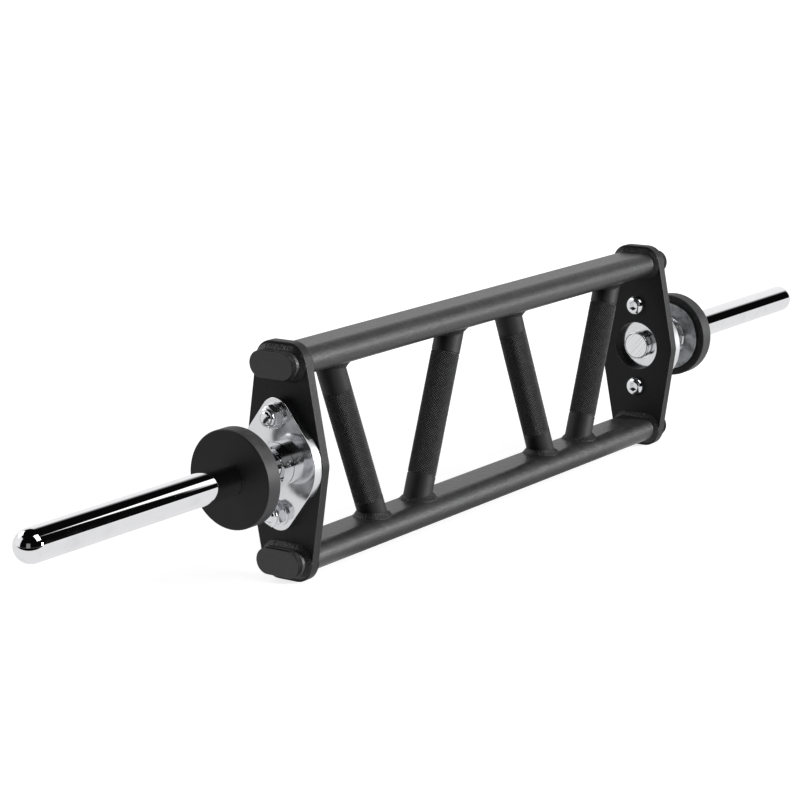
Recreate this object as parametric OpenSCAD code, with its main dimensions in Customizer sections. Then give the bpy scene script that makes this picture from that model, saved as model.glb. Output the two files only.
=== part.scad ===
// Swiss bar: two flat-oval rails and four slanted grips welded between two end plates,
// with a loading sleeve that turns freely in a flange bearing at each end.
// X runs along the bar, -Y is the front, and the end plates stand on Z = 0.

/* [End plates] */
// Distance between the inner faces of the two end plates
plate_gap = 600; // [560:5:700]
// Thickness of an end plate
plate_t = 10; // [8:1:12]
// Height of an end plate
plate_h = 222; // [212:1:240]
// Width of an end plate at the height of the sleeves
plate_mid_w = 90; // [88:1:100]
// Width of an end plate at its top and its bottom
plate_end_w = 58; // [58:1:66]
// Radius of an end plate's four corners
plate_corner_r = 18.5; // [14:0.5:20]
// Radius where an end plate's side turns at half height
plate_kink_r = 20; // [10:1:30]
// Diameter of the hole in an end plate round the end of the sleeve
hub_hole_d = 52; // [40:1:56]

/* [Rails] */
// Width of a rail from front to back
rail_w = 50; // [46:1:50]
// Height of a rail
rail_h = 25; // [22:1:26]
// Wall thickness of a rail
rail_wall = 2.5; // [2:0.5:4]
// Distance from an end plate's top or bottom edge to the middle of the rail
rail_inset = 19.5; // [18:0.5:24]
// Length of rail that stands out of an end plate
rail_stub = 8; // [5:1:12]
// Leg of the weld beads between a rail and the two faces of an end plate
weld_leg = 3.8; // [2:0.2:3.8]

/* [End caps] */
// Thickness of an end cap's head
cap_t = 6; // [3:0.5:10]
// Radius of the rounded edge of an end cap's head
cap_edge_r = 1.2; // [0.4:0.2:2]
// Length of an end cap's plug inside the rail
cap_plug_len = 16; // [12:1:30]

/* [Grips] */
// Outer diameter of a grip
grip_d = 28; // [25:1:32]
// Wall thickness of a grip
grip_wall = 2.5; // [2:0.5:4]
// Distance from the middle of the bar to the middle of an inner grip
inner_grip_x = 79.5; // [70:0.5:90]
// Distance from the middle of the bar to the middle of an outer grip
outer_grip_x = 210.5; // [200:0.5:225]
// Angle between a grip and the upright, in degrees
grip_lean = 20.8; // [15:0.1:23]

/* [Bearing flanges] */
// Thickness of a bearing flange
flange_t = 10; // [10:1:14]
// Diameter of the round middle of a bearing flange
flange_d = 88; // [80:1:88]
// Radius of the ear round each bolt of a bearing flange
flange_ear_r = 16.3; // [14:0.1:18]
// Thickness of the lip behind the bearing
flange_lip_t = 2; // [1:0.5:2]
// Distance between the two bolts of a bearing flange
bolt_spacing = 90.5; // [88:0.5:96]

/* [Bearings] */
// Diameter of a bearing ball
ball_d = 5; // [4:0.5:5]
// Number of balls in a bearing
ball_count = 20; // [12:1:20]
// Outer diameter of the inner ring's clamping collar
ring_collar_d = 40.5; // [38:0.5:42]
// Length of the inner ring's clamping collar outside the flange
ring_collar_len = 13.5; // [11:0.5:16]
// Thickness of a bearing shield
shield_t = 0.8; // [0.5:0.1:0.8]
// Thread diameter of the inner ring's set screws
ring_screw_d = 6; // [5:1:6]

/* [Flange bolts] */
// Thread diameter of a flange bolt
bolt_d = 12; // [10:1:12]
// Diameter of a flange bolt's domed head
bolt_head_d = 21; // [18:0.5:22]
// Height of a flange bolt's domed head
bolt_head_h = 6.6; // [5.5:0.1:7]
// Outer diameter of the washer under a lock nut
washer_d = 24; // [22:0.5:25]
// Thickness of the washer under a lock nut
washer_t = 2.5; // [1.5:0.5:3]
// Width of a lock nut across its flats
nut_af = 19; // [18:0.5:20]
// Height of a lock nut
nut_h = 11; // [10:0.5:12]

/* [Sleeves] */
// Diameter of a sleeve
sleeve_d = 30; // [28:0.5:30]
// Length of a sleeve from its stop disc to its tip
loading_len = 257; // [150:1:400]
// Length of bare sleeve between the bearing and the lock collar
bare_len = 11.5; // [4:0.5:30]
// Diameter of the lock collar
collar_d = 47; // [44:0.5:50]
// Width of the lock collar
collar_w = 21; // [18:0.5:25]
// Thread diameter of the lock collar's set screws
collar_screw_d = 8; // [6:1:8]
// Diameter of the steel disc behind the rubber stop disc
steel_disc_d = 75; // [55:1:90]
// Thickness of the steel disc behind the rubber stop disc
steel_disc_t = 3; // [1.5:0.5:5]
// Diameter of the rubber stop disc
rubber_disc_d = 91; // [60:1:110]
// Thickness of the rubber stop disc
rubber_disc_t = 17; // [10:0.5:25]

/* [Fits] */
// How much smaller the sleeve's radius is where the bearing and the stop pieces sit
seat_step = 0.2; // [0.17:0.01:0.3]
// Length of that smaller part that shows beyond the stop disc
seat_relief = 0.5; // [0.2:0.1:1]
// Gap all round between a sleeve's seat and each piece that slides on to it
slide_fit = 0.03; // [0.02:0.01:0.1]
// Gap all round between a bearing ball and its groove or its cage
ball_fit = 0.05; // [0.02:0.01:0.1]
// Gap all round between a turning piece and a fixed piece beside it
turning_gap = 0.3; // [0.2:0.05:0.4]
// Gap all round between a rail and the slot in an end plate
slot_fit = 0.1; // [0.05:0.05:0.2]
// Gap all round between a cap's fins and the rail
plug_fit = 0.1; // [0.05:0.05:0.3]
// Gap all round between a flange bolt and the holes it passes through
bolt_hole_gap = 0.5; // [0.25:0.25:1]

/* [Hidden] */
$fn = 96;

powder_black = "#2a2a2b";
rail_charcoal = "#3c3c3d";
grip_black = "#1d1d1e";
cap_grey = "#464648";
bare_weld = "#333334";
polished_chrome = "#d9dbdd";
zinc_steel = "#c4c6c8";
bearing_steel = "#a9abad";
satin_steel = "#8f9193";
stop_rubber = "#1b1b1c";
nylon_white = "#e4e2da";

// Height of the sleeves' common axis above the ground, and of each rail above or below it
axis_z = plate_h / 2;
rail_z = axis_z - rail_inset;

// Faces along the bar, from the middle outwards
plate_x = plate_gap / 2;
flange_x = plate_x + plate_t;
bearing_x = flange_x + flange_lip_t;
flange_face_x = flange_x + flange_t;
ring_end_x = flange_face_x + ring_collar_len;
collar_x = ring_end_x + bare_len;
steel_disc_x = collar_x + collar_w;
rubber_disc_x = steel_disc_x + steel_disc_t;
loading_x = rubber_disc_x + rubber_disc_t;
tip_x = loading_x + loading_len;
rail_end_x = flange_x + rail_stub;

// Bearing sizes, all following the inner ring's collar and the balls. The shares are of a
// ball's radius: how far the balls' circle lies out from the collar, how high the grooves'
// shoulders stand, how far out the shields sit, and half the thickness of the cage
pitch_share = 1.1;
shoulder_share = 0.56;
shield_share = 1.2;
cage_share = 0.32;
// The lip stands this many turning gaps away from the sleeve
lip_gaps = 5;
sleeve_r = sleeve_d / 2;
seat_r = sleeve_r - seat_step;
seat_bore_r = seat_r + slide_fit;
ball_r = ball_d / 2;
ring_r = ring_collar_d / 2;
bearing_w = flange_face_x - bearing_x;
bearing_mid_x = bearing_x + bearing_w / 2;
pitch_r = ring_r + pitch_share * ball_r;
shoulder_drop = shoulder_share * ball_r;
shield_seat_r = pitch_r + shield_share * ball_r;
bearing_r = pitch_r + 2 * ball_r;
groove_r = ball_r + ball_fit;
lip_bore_r = seat_r + lip_gaps * turning_gap;
cage_half_t = cage_share * ball_r;
sleeve_chamfer = 1;
// A cut starts this far before a face and ends this far beyond the other
cut_over = 1;

// Set screws stop this far below the surface they are screwed into
screw_recess = 0.4;
// The set screws lie at these angles about the sleeve, measured from the front over the top
ring_screw_angles = [14, 134];
collar_screw_angles = [30, 120];
ring_screw_x = ring_end_x - ring_collar_len / 2;
// The lock collar's set screws lie this share of its width from its inner face
collar_screw_share = 0.4;
collar_screw_x = collar_x + collar_screw_share * collar_w;
collar_chamfer = 1.5;
collar_groove_w = 4;
collar_groove_deep = 0.8;
rubber_bevel = 2.5;

// Bolt sizes that follow the stack of plate, flange, washer and nut
bolt_tip_chamfer = 1;
bolt_tip_out = 1.5;
bolt_len = plate_t + flange_t + washer_t + nut_h + bolt_tip_out;
bolt_hole_r = bolt_d / 2 + bolt_hole_gap;
bolt_socket_af = 8;
bolt_socket_deep = 4.2;
head_rim_h = 0.8;
head_top_r = 5.2;
nut_hex_share = 0.75;
nut_hex_h = nut_hex_share * nut_h;
nut_chamfer = 1;
nut_collar_share = 0.45;
nut_collar_r = nut_collar_share * nut_af;
nut_collar_wall = 0.9;
// The nut's round collar starts this far down inside its hexagon
nut_collar_root = 1;
nylon_t = 2.2;
nylon_r = nut_collar_r - nut_collar_wall;
thread_fit = 0.02;

// End cap plug
plug_wall = 1.6;
plug_fin_t = 1.5;
plug_fin_deep = 1.1;
// The plug's two fins start at these shares of its length
plug_fin_places = [0.85, 0.4];
weld_toe = 0.4;

// Puts a piece that is drawn for the right-hand end, about the sleeve's axis, at the end
// that side names: 1 is the right-hand end and -1 is the left-hand end
module at_end(side) {
    translate([0, 0, axis_z])
        if (side < 0)
            mirror([1, 0, 0]) children();
        else
            children();
}

// A flat outline in the Y-Z plane, made into a slab that starts at x and is t thick
module slab(x, t) {
    translate([x, 0, 0]) rotate([90, 0, 90]) linear_extrude(t) children();
}

// A half section of [radius, x] points turned about the sleeve's axis
module turned() {
    rotate([0, 90, 0]) rotate_extrude() children();
}

// A round bar along the sleeve's axis from x, with radius r and length l
module bar(x, r, l) {
    translate([x, 0, 0]) rotate([0, 90, 0]) cylinder(r = r, h = l);
}

// Puts a piece that points along X at each of the two flange bolts
module at_bolts() {
    for (level = [-1, 1])
        translate([0, 0, level * bolt_spacing / 2]) children();
}

// Turns a piece that points up from the sleeve's axis to each angle, measured from the front
module at_angles(x, angles) {
    for (angle = angles)
        translate([x, 0, 0]) rotate([90 - angle, 0, 0]) children();
}

// Outline of a flat oval, w wide and h high, with fully round ends
module flat_oval(w, h) {
    square([w - h, h], center = true);
    for (end = [-1, 1])
        translate([end * (w - h) / 2, 0]) circle(d = h);
}

// Direction square to the straight line that touches circles a and b, each [x, y, radius],
// on the right of the way from a to b
function tangent_normal(a, b) =
    let (
        run = [b.x - a.x, b.y - a.y],
        along = run / norm(run),
        side = [along.y, -along.x],
        tilt = (a.z - b.z) / norm(run)
    )
    side * sqrt(1 - tilt * tilt) + along * tilt;

// Outline of a belt pulled tight round circles, each [x, y, radius], listed anticlockwise
module belt(circles) {
    count = len(circles);
    polygon([
        for (i = [0 : count - 1])
            let (
                a = circles[i],
                b = circles[(i + 1) % count],
                normal = tangent_normal(a, b)
            )
            each [[a.x, a.y] + a.z * normal, [b.x, b.y] + b.z * normal]
    ]);
    for (c = circles)
        translate([c.x, c.y]) circle(r = c.z);
}

module plate_outline() {
    corner_y = plate_end_w / 2 - plate_corner_r;
    corner_z = plate_h / 2 - plate_corner_r;
    kink_y = plate_mid_w / 2 - plate_kink_r;
    belt([
        [corner_y, -corner_z, plate_corner_r],
        [kink_y, 0, plate_kink_r],
        [corner_y, corner_z, plate_corner_r],
        [-corner_y, corner_z, plate_corner_r],
        [-kink_y, 0, plate_kink_r],
        [-corner_y, -corner_z, plate_corner_r],
    ]);
}

module end_plate(side) {
    color(powder_black)
        at_end(side) slab(plate_x, plate_t) difference() {
            plate_outline();
            circle(d = hub_hole_d);
            for (level = [-1, 1]) {
                translate([0, level * bolt_spacing / 2]) circle(r = bolt_hole_r);
                translate([0, level * rail_z])
                    flat_oval(rail_w + 2 * slot_fit, rail_h + 2 * slot_fit);
            }
        }
}

module rail(level) {
    color(rail_charcoal)
        translate([0, 0, axis_z + level * rail_z])
            slab(-rail_end_x, 2 * rail_end_x) difference() {
                flat_oval(rail_w, rail_h);
                flat_oval(rail_w - 2 * rail_wall, rail_h - 2 * rail_wall);
            }
}

// One weld bead round a rail, on a face at x = 0 that looks along +X
module rail_weld() {
    root = rail_h / 2;
    difference() {
        union() {
            for (end = [-1, 1])
                translate([0, end * (rail_w - rail_h) / 2, 0]) rotate([0, 90, 0])
                    cylinder(r1 = root + weld_leg, r2 = root + weld_toe, h = weld_leg);
            across() polygon([
                [-root - weld_leg, 0],
                [root + weld_leg, 0],
                [root + weld_toe, weld_leg],
                [-root - weld_toe, weld_leg],
            ]);
        }
        slab(-cut_over, weld_leg + 2 * cut_over) flat_oval(rail_w, rail_h);
    }
}

// Weld beads round both rails, on both faces of an end plate
module rail_welds(side) {
    color(bare_weld)
        at_end(side) for (level = [-1, 1])
            translate([0, 0, level * rail_z]) {
                translate([flange_x, 0, 0]) rail_weld();
                translate([plate_x, 0, 0]) mirror([1, 0, 0]) rail_weld();
            }
}

// A section of [z, x] points made into a bar that fills the straight part of a flat oval
module across() {
    rotate([0, -90, -90]) linear_extrude(rail_w - rail_h, center = true) children();
}

// A grip round the point x at half height. lean is 1 where its top leans towards +X
module grip(x, lean) {
    cut_len = 2 * rail_z / cos(grip_lean);
    color(grip_black)
        difference() {
            translate([x, 0, axis_z]) rotate([0, lean * grip_lean, 0]) difference() {
                cylinder(d = grip_d, h = cut_len, center = true);
                cylinder(d = grip_d - 2 * grip_wall, h = cut_len + cut_over, center = true);
            }
            for (level = [-1, 1])
                translate([0, 0, axis_z + level * rail_z])
                    slab(-plate_x, plate_gap) flat_oval(rail_w, rail_h);
        }
}

// Half section of a cap's head as [radius, x], with its front edge rounded
module cap_head_section() {
    inner_r = rail_h / 2 - cap_edge_r;
    square([inner_r, cap_t]);
    square([rail_h / 2, cap_t - cap_edge_r]);
    translate([inner_r, cap_t - cap_edge_r]) circle(r = cap_edge_r);
}

module cap_head() {
    for (end = [-1, 1])
        translate([0, end * (rail_w - rail_h) / 2, 0]) turned() cap_head_section();
    across() {
        cap_head_section();
        mirror([1, 0]) cap_head_section();
    }
}

module cap_plug() {
    hole_w = rail_w - 2 * rail_wall;
    hole_h = rail_h - 2 * rail_wall;
    core = 2 * plug_fin_deep;
    slab(-cap_plug_len, cap_plug_len) difference() {
        flat_oval(hole_w - core, hole_h - core);
        flat_oval(hole_w - core - 2 * plug_wall, hole_h - core - 2 * plug_wall);
    }
    for (place = plug_fin_places)
        slab(-place * cap_plug_len, plug_fin_t) difference() {
            flat_oval(hole_w - 2 * plug_fit, hole_h - 2 * plug_fit);
            flat_oval(hole_w - core - plug_wall, hole_h - core - plug_wall);
        }
}

module end_cap(side, level) {
    color(cap_grey)
        at_end(side) translate([rail_end_x, 0, level * rail_z]) {
            cap_head();
            cap_plug();
        }
}

module flange(side) {
    color(polished_chrome)
        at_end(side) difference() {
            slab(flange_x, flange_t) belt([
                [0, -bolt_spacing / 2, flange_ear_r],
                [0, 0, flange_d / 2],
                [0, bolt_spacing / 2, flange_ear_r],
                [0, 0, flange_d / 2],
            ]);
            bar(flange_x - cut_over, lip_bore_r, flange_t + 2 * cut_over);
            bar(bearing_x, bearing_r, bearing_w + cut_over);
            at_bolts() bar(flange_x - cut_over, bolt_hole_r, flange_t + 2 * cut_over);
        }
}

module outer_ring(side) {
    land_r = pitch_r + shoulder_drop;
    color(bearing_steel)
        at_end(side) turned() difference() {
            translate([land_r, bearing_x]) square([bearing_r - land_r, bearing_w]);
            for (x = [bearing_x, flange_face_x - shield_t])
                translate([land_r, x]) square([shield_seat_r - land_r, shield_t]);
            translate([pitch_r, bearing_mid_x]) circle(r = groove_r);
        }
}

// x is where the shield starts
module shield(side, x) {
    bore_r = ring_r + turning_gap;
    color(bearing_steel)
        at_end(side) turned()
            translate([bore_r, x]) square([shield_seat_r - bore_r, shield_t]);
}

module inner_ring(side) {
    back_x = bearing_x + turning_gap;
    land_r = pitch_r - shoulder_drop;
    land_w = bearing_w - 2 * shield_t - 2 * turning_gap;
    color(bearing_steel)
        at_end(side) difference() {
            turned() difference() {
                union() {
                    translate([seat_bore_r, back_x])
                        square([ring_r - seat_bore_r, ring_end_x - back_x]);
                    translate([seat_bore_r, bearing_mid_x - land_w / 2])
                        square([land_r - seat_bore_r, land_w]);
                }
                translate([pitch_r, bearing_mid_x]) circle(r = groove_r);
            }
            at_angles(ring_screw_x, ring_screw_angles)
                cylinder(d = ring_screw_d + 2 * thread_fit, h = ring_r + cut_over);
        }
}

// Places of the balls round the sleeve
module at_balls() {
    for (i = [0 : ball_count - 1])
        rotate([i * 360 / ball_count, 0, 0]) translate([bearing_mid_x, 0, pitch_r]) children();
}

module balls(side) {
    color(polished_chrome)
        at_end(side) at_balls() sphere(r = ball_r);
}

module ball_cage(side) {
    inner_r = pitch_r - cage_half_t;
    cage_w = bearing_w - 2 * shield_t - 2 * turning_gap;
    color(satin_steel)
        at_end(side) difference() {
            turned() translate([inner_r, bearing_mid_x - cage_w / 2])
                square([2 * cage_half_t, cage_w]);
            at_balls() sphere(r = groove_r);
        }
}

// One button-head bolt along X with the underside of its head at x
module flange_bolt(x) {
    rim_r = bolt_head_d / 2;
    dome_x = (rim_r * rim_r + head_rim_h * head_rim_h - head_top_r * head_top_r
        - bolt_head_h * bolt_head_h) / (2 * (bolt_head_h - head_rim_h));
    dome_r = norm([rim_r, head_rim_h + dome_x]);
    translate([x, 0, 0]) difference() {
        union() {
            intersection() {
                bar(-bolt_head_h, rim_r, bolt_head_h);
                translate([dome_x, 0, 0]) sphere(r = dome_r);
            }
            bar(0, bolt_d / 2, bolt_len - bolt_tip_chamfer);
            translate([bolt_len - bolt_tip_chamfer, 0, 0]) rotate([0, 90, 0])
                cylinder(r1 = bolt_d / 2, r2 = bolt_d / 2 - bolt_tip_chamfer, h = bolt_tip_chamfer);
        }
        translate([-bolt_head_h - cut_over, 0, 0])
            hex_socket(bolt_socket_af, bolt_socket_deep + cut_over);
    }
}

// A hexagonal hole along X that starts at 0, af across its flats
module hex_socket(af, deep) {
    rotate([0, 90, 0]) cylinder(d = af / cos(30), h = deep, $fn = 6);
}

module flange_bolts(side) {
    color(zinc_steel)
        at_end(side) at_bolts() flange_bolt(plate_x);
}

module washers(side) {
    color(zinc_steel)
        at_end(side) at_bolts() difference() {
            bar(flange_face_x, washer_d / 2, washer_t);
            bar(flange_face_x - cut_over, bolt_hole_r, washer_t + 2 * cut_over);
        }
}

// Lock nut: a hexagon with chamfered corners and a round collar that holds the nylon ring
module lock_nut() {
    corner_r = nut_af / cos(30) / 2;
    flat_r = nut_af / 2;
    difference() {
        union() {
            intersection() {
                hex_socket(nut_af, nut_hex_h);
                turned() polygon([
                    [0, 0],
                    [flat_r, 0],
                    [corner_r, nut_chamfer],
                    [corner_r, nut_hex_h - nut_chamfer],
                    [flat_r, nut_hex_h],
                    [0, nut_hex_h],
                ]);
            }
            turned() polygon([
                [0, nut_hex_h - nut_collar_root],
                [nut_collar_r, nut_hex_h - nut_collar_root],
                [nut_collar_r, nut_h - nut_chamfer],
                [nut_collar_r - nut_chamfer, nut_h],
                [0, nut_h],
            ]);
        }
        bar(-cut_over, bolt_d / 2 + thread_fit, nut_h + 2 * cut_over);
        bar(nut_hex_h, nylon_r, nylon_t);
    }
}

module lock_nuts(side) {
    color(zinc_steel)
        at_end(side) at_bolts() translate([flange_face_x + washer_t, 0, 0]) lock_nut();
}

module nut_inserts(side) {
    color(nylon_white)
        at_end(side) at_bolts() translate([flange_face_x + washer_t + nut_hex_h, 0, 0])
            difference() {
                bar(0, nylon_r, nylon_t);
                bar(-cut_over, bolt_d / 2, nylon_t + 2 * cut_over);
            }
}

module sleeve(side) {
    shoulder_x = loading_x + seat_relief;
    dome_x = tip_x - sleeve_r;
    color(polished_chrome)
        at_end(side) {
            translate([plate_x, 0, 0]) rotate([0, 90, 0])
                cylinder(r1 = seat_r - sleeve_chamfer, r2 = seat_r, h = sleeve_chamfer);
            bar(plate_x + sleeve_chamfer, seat_r, shoulder_x - plate_x - sleeve_chamfer);
            bar(shoulder_x, sleeve_r, dome_x - shoulder_x);
            translate([dome_x, 0, 0]) sphere(r = sleeve_r);
        }
}

// Set screws of diameter d that press on the sleeve from a piece of radius outer_r
module set_screws(x, angles, d, outer_r) {
    top = outer_r - screw_recess;
    at_angles(x, angles) difference() {
        translate([0, 0, seat_r]) cylinder(d = d, h = top - seat_r);
        translate([0, 0, (top + seat_r) / 2]) cylinder(d = d / 2 / cos(30), h = top, $fn = 6);
    }
}

module ring_screws(side) {
    color(zinc_steel)
        at_end(side) set_screws(ring_screw_x, ring_screw_angles, ring_screw_d, ring_r);
}

module lock_collar(side) {
    r = collar_d / 2;
    groove_x = steel_disc_x - 2 * collar_chamfer - collar_groove_w;
    color(polished_chrome)
        at_end(side) difference() {
            turned() polygon([
                [seat_bore_r, collar_x],
                [r - collar_chamfer, collar_x],
                [r, collar_x + collar_chamfer],
                [r, groove_x],
                [r - collar_groove_deep, groove_x],
                [r - collar_groove_deep, groove_x + collar_groove_w],
                [r, groove_x + collar_groove_w],
                [r, steel_disc_x - collar_chamfer],
                [r - collar_chamfer, steel_disc_x],
                [seat_bore_r, steel_disc_x],
            ]);
            at_angles(collar_screw_x, collar_screw_angles)
                cylinder(d = collar_screw_d + 2 * thread_fit, h = r + cut_over);
        }
}

module collar_screws(side) {
    color(zinc_steel)
        at_end(side) set_screws(collar_screw_x, collar_screw_angles, collar_screw_d, collar_d / 2);
}

module steel_disc(side) {
    color(satin_steel)
        at_end(side) difference() {
            bar(steel_disc_x, steel_disc_d / 2, steel_disc_t);
            bar(steel_disc_x - cut_over, seat_bore_r, steel_disc_t + 2 * cut_over);
        }
}

module rubber_disc(side) {
    r = rubber_disc_d / 2;
    color(stop_rubber)
        at_end(side) turned() polygon([
            [seat_bore_r, rubber_disc_x],
            [r - rubber_bevel, rubber_disc_x],
            [r, rubber_disc_x + rubber_bevel],
            [r, loading_x - rubber_bevel],
            [r - rubber_bevel, loading_x],
            [seat_bore_r, loading_x],
        ]);
}

end_plate(-1);  // left_end_plate
end_plate(1);  // right_end_plate
rail(1);  // top_rail
rail(-1);  // bottom_rail
rail_welds(-1);  // left_rail_welds
rail_welds(1);  // right_rail_welds
grip(-outer_grip_x, -1);  // outer_left_grip
grip(-inner_grip_x, 1);  // inner_left_grip
grip(inner_grip_x, -1);  // inner_right_grip
grip(outer_grip_x, 1);  // outer_right_grip
end_cap(-1, 1);  // top_left_cap
end_cap(-1, -1);  // bottom_left_cap
end_cap(1, 1);  // top_right_cap
end_cap(1, -1);  // bottom_right_cap
flange(-1);  // left_flange
flange(1);  // right_flange
outer_ring(-1);  // left_outer_ring
outer_ring(1);  // right_outer_ring
shield(-1, flange_face_x - shield_t);  // left_front_shield
shield(1, flange_face_x - shield_t);  // right_front_shield
shield(-1, bearing_x);  // left_back_shield
shield(1, bearing_x);  // right_back_shield
flange_bolts(-1);  // left_flange_bolts
flange_bolts(1);  // right_flange_bolts
washers(-1);  // left_washers
washers(1);  // right_washers
lock_nuts(-1);  // left_lock_nuts
lock_nuts(1);  // right_lock_nuts
nut_inserts(-1);  // left_nut_inserts
nut_inserts(1);  // right_nut_inserts
balls(-1);  // left_balls
balls(1);  // right_balls
ball_cage(-1);  // left_ball_cage
ball_cage(1);  // right_ball_cage
sleeve(-1);  // left_sleeve
sleeve(1);  // right_sleeve
inner_ring(-1);  // left_inner_ring
inner_ring(1);  // right_inner_ring
ring_screws(-1);  // left_ring_screws
ring_screws(1);  // right_ring_screws
lock_collar(-1);  // left_lock_collar
lock_collar(1);  // right_lock_collar
collar_screws(-1);  // left_collar_screws
collar_screws(1);  // right_collar_screws
steel_disc(-1);  // left_steel_disc
steel_disc(1);  // right_steel_disc
rubber_disc(-1);  // left_rubber_disc
rubber_disc(1);  // right_rubber_disc
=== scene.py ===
"""Looks of the swiss bar: its finishes, knurling, weld beads, threads, and the studio round it.

All lengths are in metres. X runs along the bar, -Y is the front, and the end plates stand on
Z = 0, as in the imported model.
"""

import logging
import math
from dataclasses import dataclass, field
from enum import Enum
from functools import partial, reduce

import bmesh
import bpy
import numpy as np
from mathutils import Matrix, Vector

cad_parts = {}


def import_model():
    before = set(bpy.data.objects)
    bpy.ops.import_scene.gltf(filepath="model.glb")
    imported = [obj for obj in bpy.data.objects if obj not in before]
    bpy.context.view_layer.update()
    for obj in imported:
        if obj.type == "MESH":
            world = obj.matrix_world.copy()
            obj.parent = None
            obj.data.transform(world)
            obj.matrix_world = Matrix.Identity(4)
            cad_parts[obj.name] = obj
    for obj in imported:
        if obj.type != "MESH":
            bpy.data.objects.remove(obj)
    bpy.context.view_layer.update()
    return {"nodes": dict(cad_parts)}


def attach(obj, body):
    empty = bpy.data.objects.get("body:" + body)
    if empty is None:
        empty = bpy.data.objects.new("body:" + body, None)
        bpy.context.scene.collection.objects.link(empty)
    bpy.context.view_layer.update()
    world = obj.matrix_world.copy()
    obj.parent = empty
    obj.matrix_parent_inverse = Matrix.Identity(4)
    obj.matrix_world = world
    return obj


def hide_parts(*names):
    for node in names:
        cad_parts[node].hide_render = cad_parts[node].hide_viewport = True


log = logging.getLogger("swiss_bar")

# Sizes that the pieces share
AXIS_Z = 0.111
RAIL_Z = 0.0915
PLATE_X = 0.300
PLATE_T = 0.010
FLANGE_T = 0.010
BOLT_Z = 0.04525
RAIL_W = 0.050
RAIL_H = 0.025
RAIL_END_X = 0.318
SEAT_R = 0.0148
BORE_R = 0.01483

# The body of everything that stands still
FRAME = "frame"

# Under these a radius is on the axis, two points are one, and a turn is straight on
ON_AXIS = 1e-9
SAME_PLACE = 1e-7
STRAIGHT_ON = 1e-6

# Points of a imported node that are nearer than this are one, faces that turn by less than the
# second value are one, and edges that turn by more than the third are sharp
NODE_GAP = 1e-6
FLAT_TURN = math.radians(0.4)
SHARP_TURN = math.radians(30.0)

Colour = tuple[float, float, float, float]
Range = tuple[float, float]
Socket = bpy.types.NodeSocket

WHITE = (1.0, 1.0, 1.0, 1.0)
DUST = "#8c8a86"

# How much of a normal lies along the bar on faces across it: from none of them to all
END_ON = (0.5, 0.9)


class Choice(Enum):
    """A choice whose name is part of the names of its pieces."""

    @property
    def word(self) -> str:
        """The choice's name in small letters."""
        return self.name.lower()


class Side(Choice):
    """The two ends of the bar."""

    LEFT = -1
    RIGHT = 1

    @property
    def body(self) -> str:
        """The body that turns at this end."""
        return f"{self.word}_spindle"


class Level(Choice):
    """The heights of the two rails, and of the bolts near them."""

    TOP = 1
    BOTTOM = -1


def srgb(code: str) -> Colour:
    """Turns a colour written as #rrggbb into linear values.

    Args:
        code: The colour, such as #3c3c3d.

    Returns:
        Red, green, blue and an alpha of 1.
    """
    values = [int(code[i : i + 2], 16) / 255 for i in (1, 3, 5)]
    linear = [v / 12.92 if v <= 0.04045 else ((v + 0.055) / 1.055) ** 2.4 for v in values]
    return (*linear, 1.0)


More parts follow.
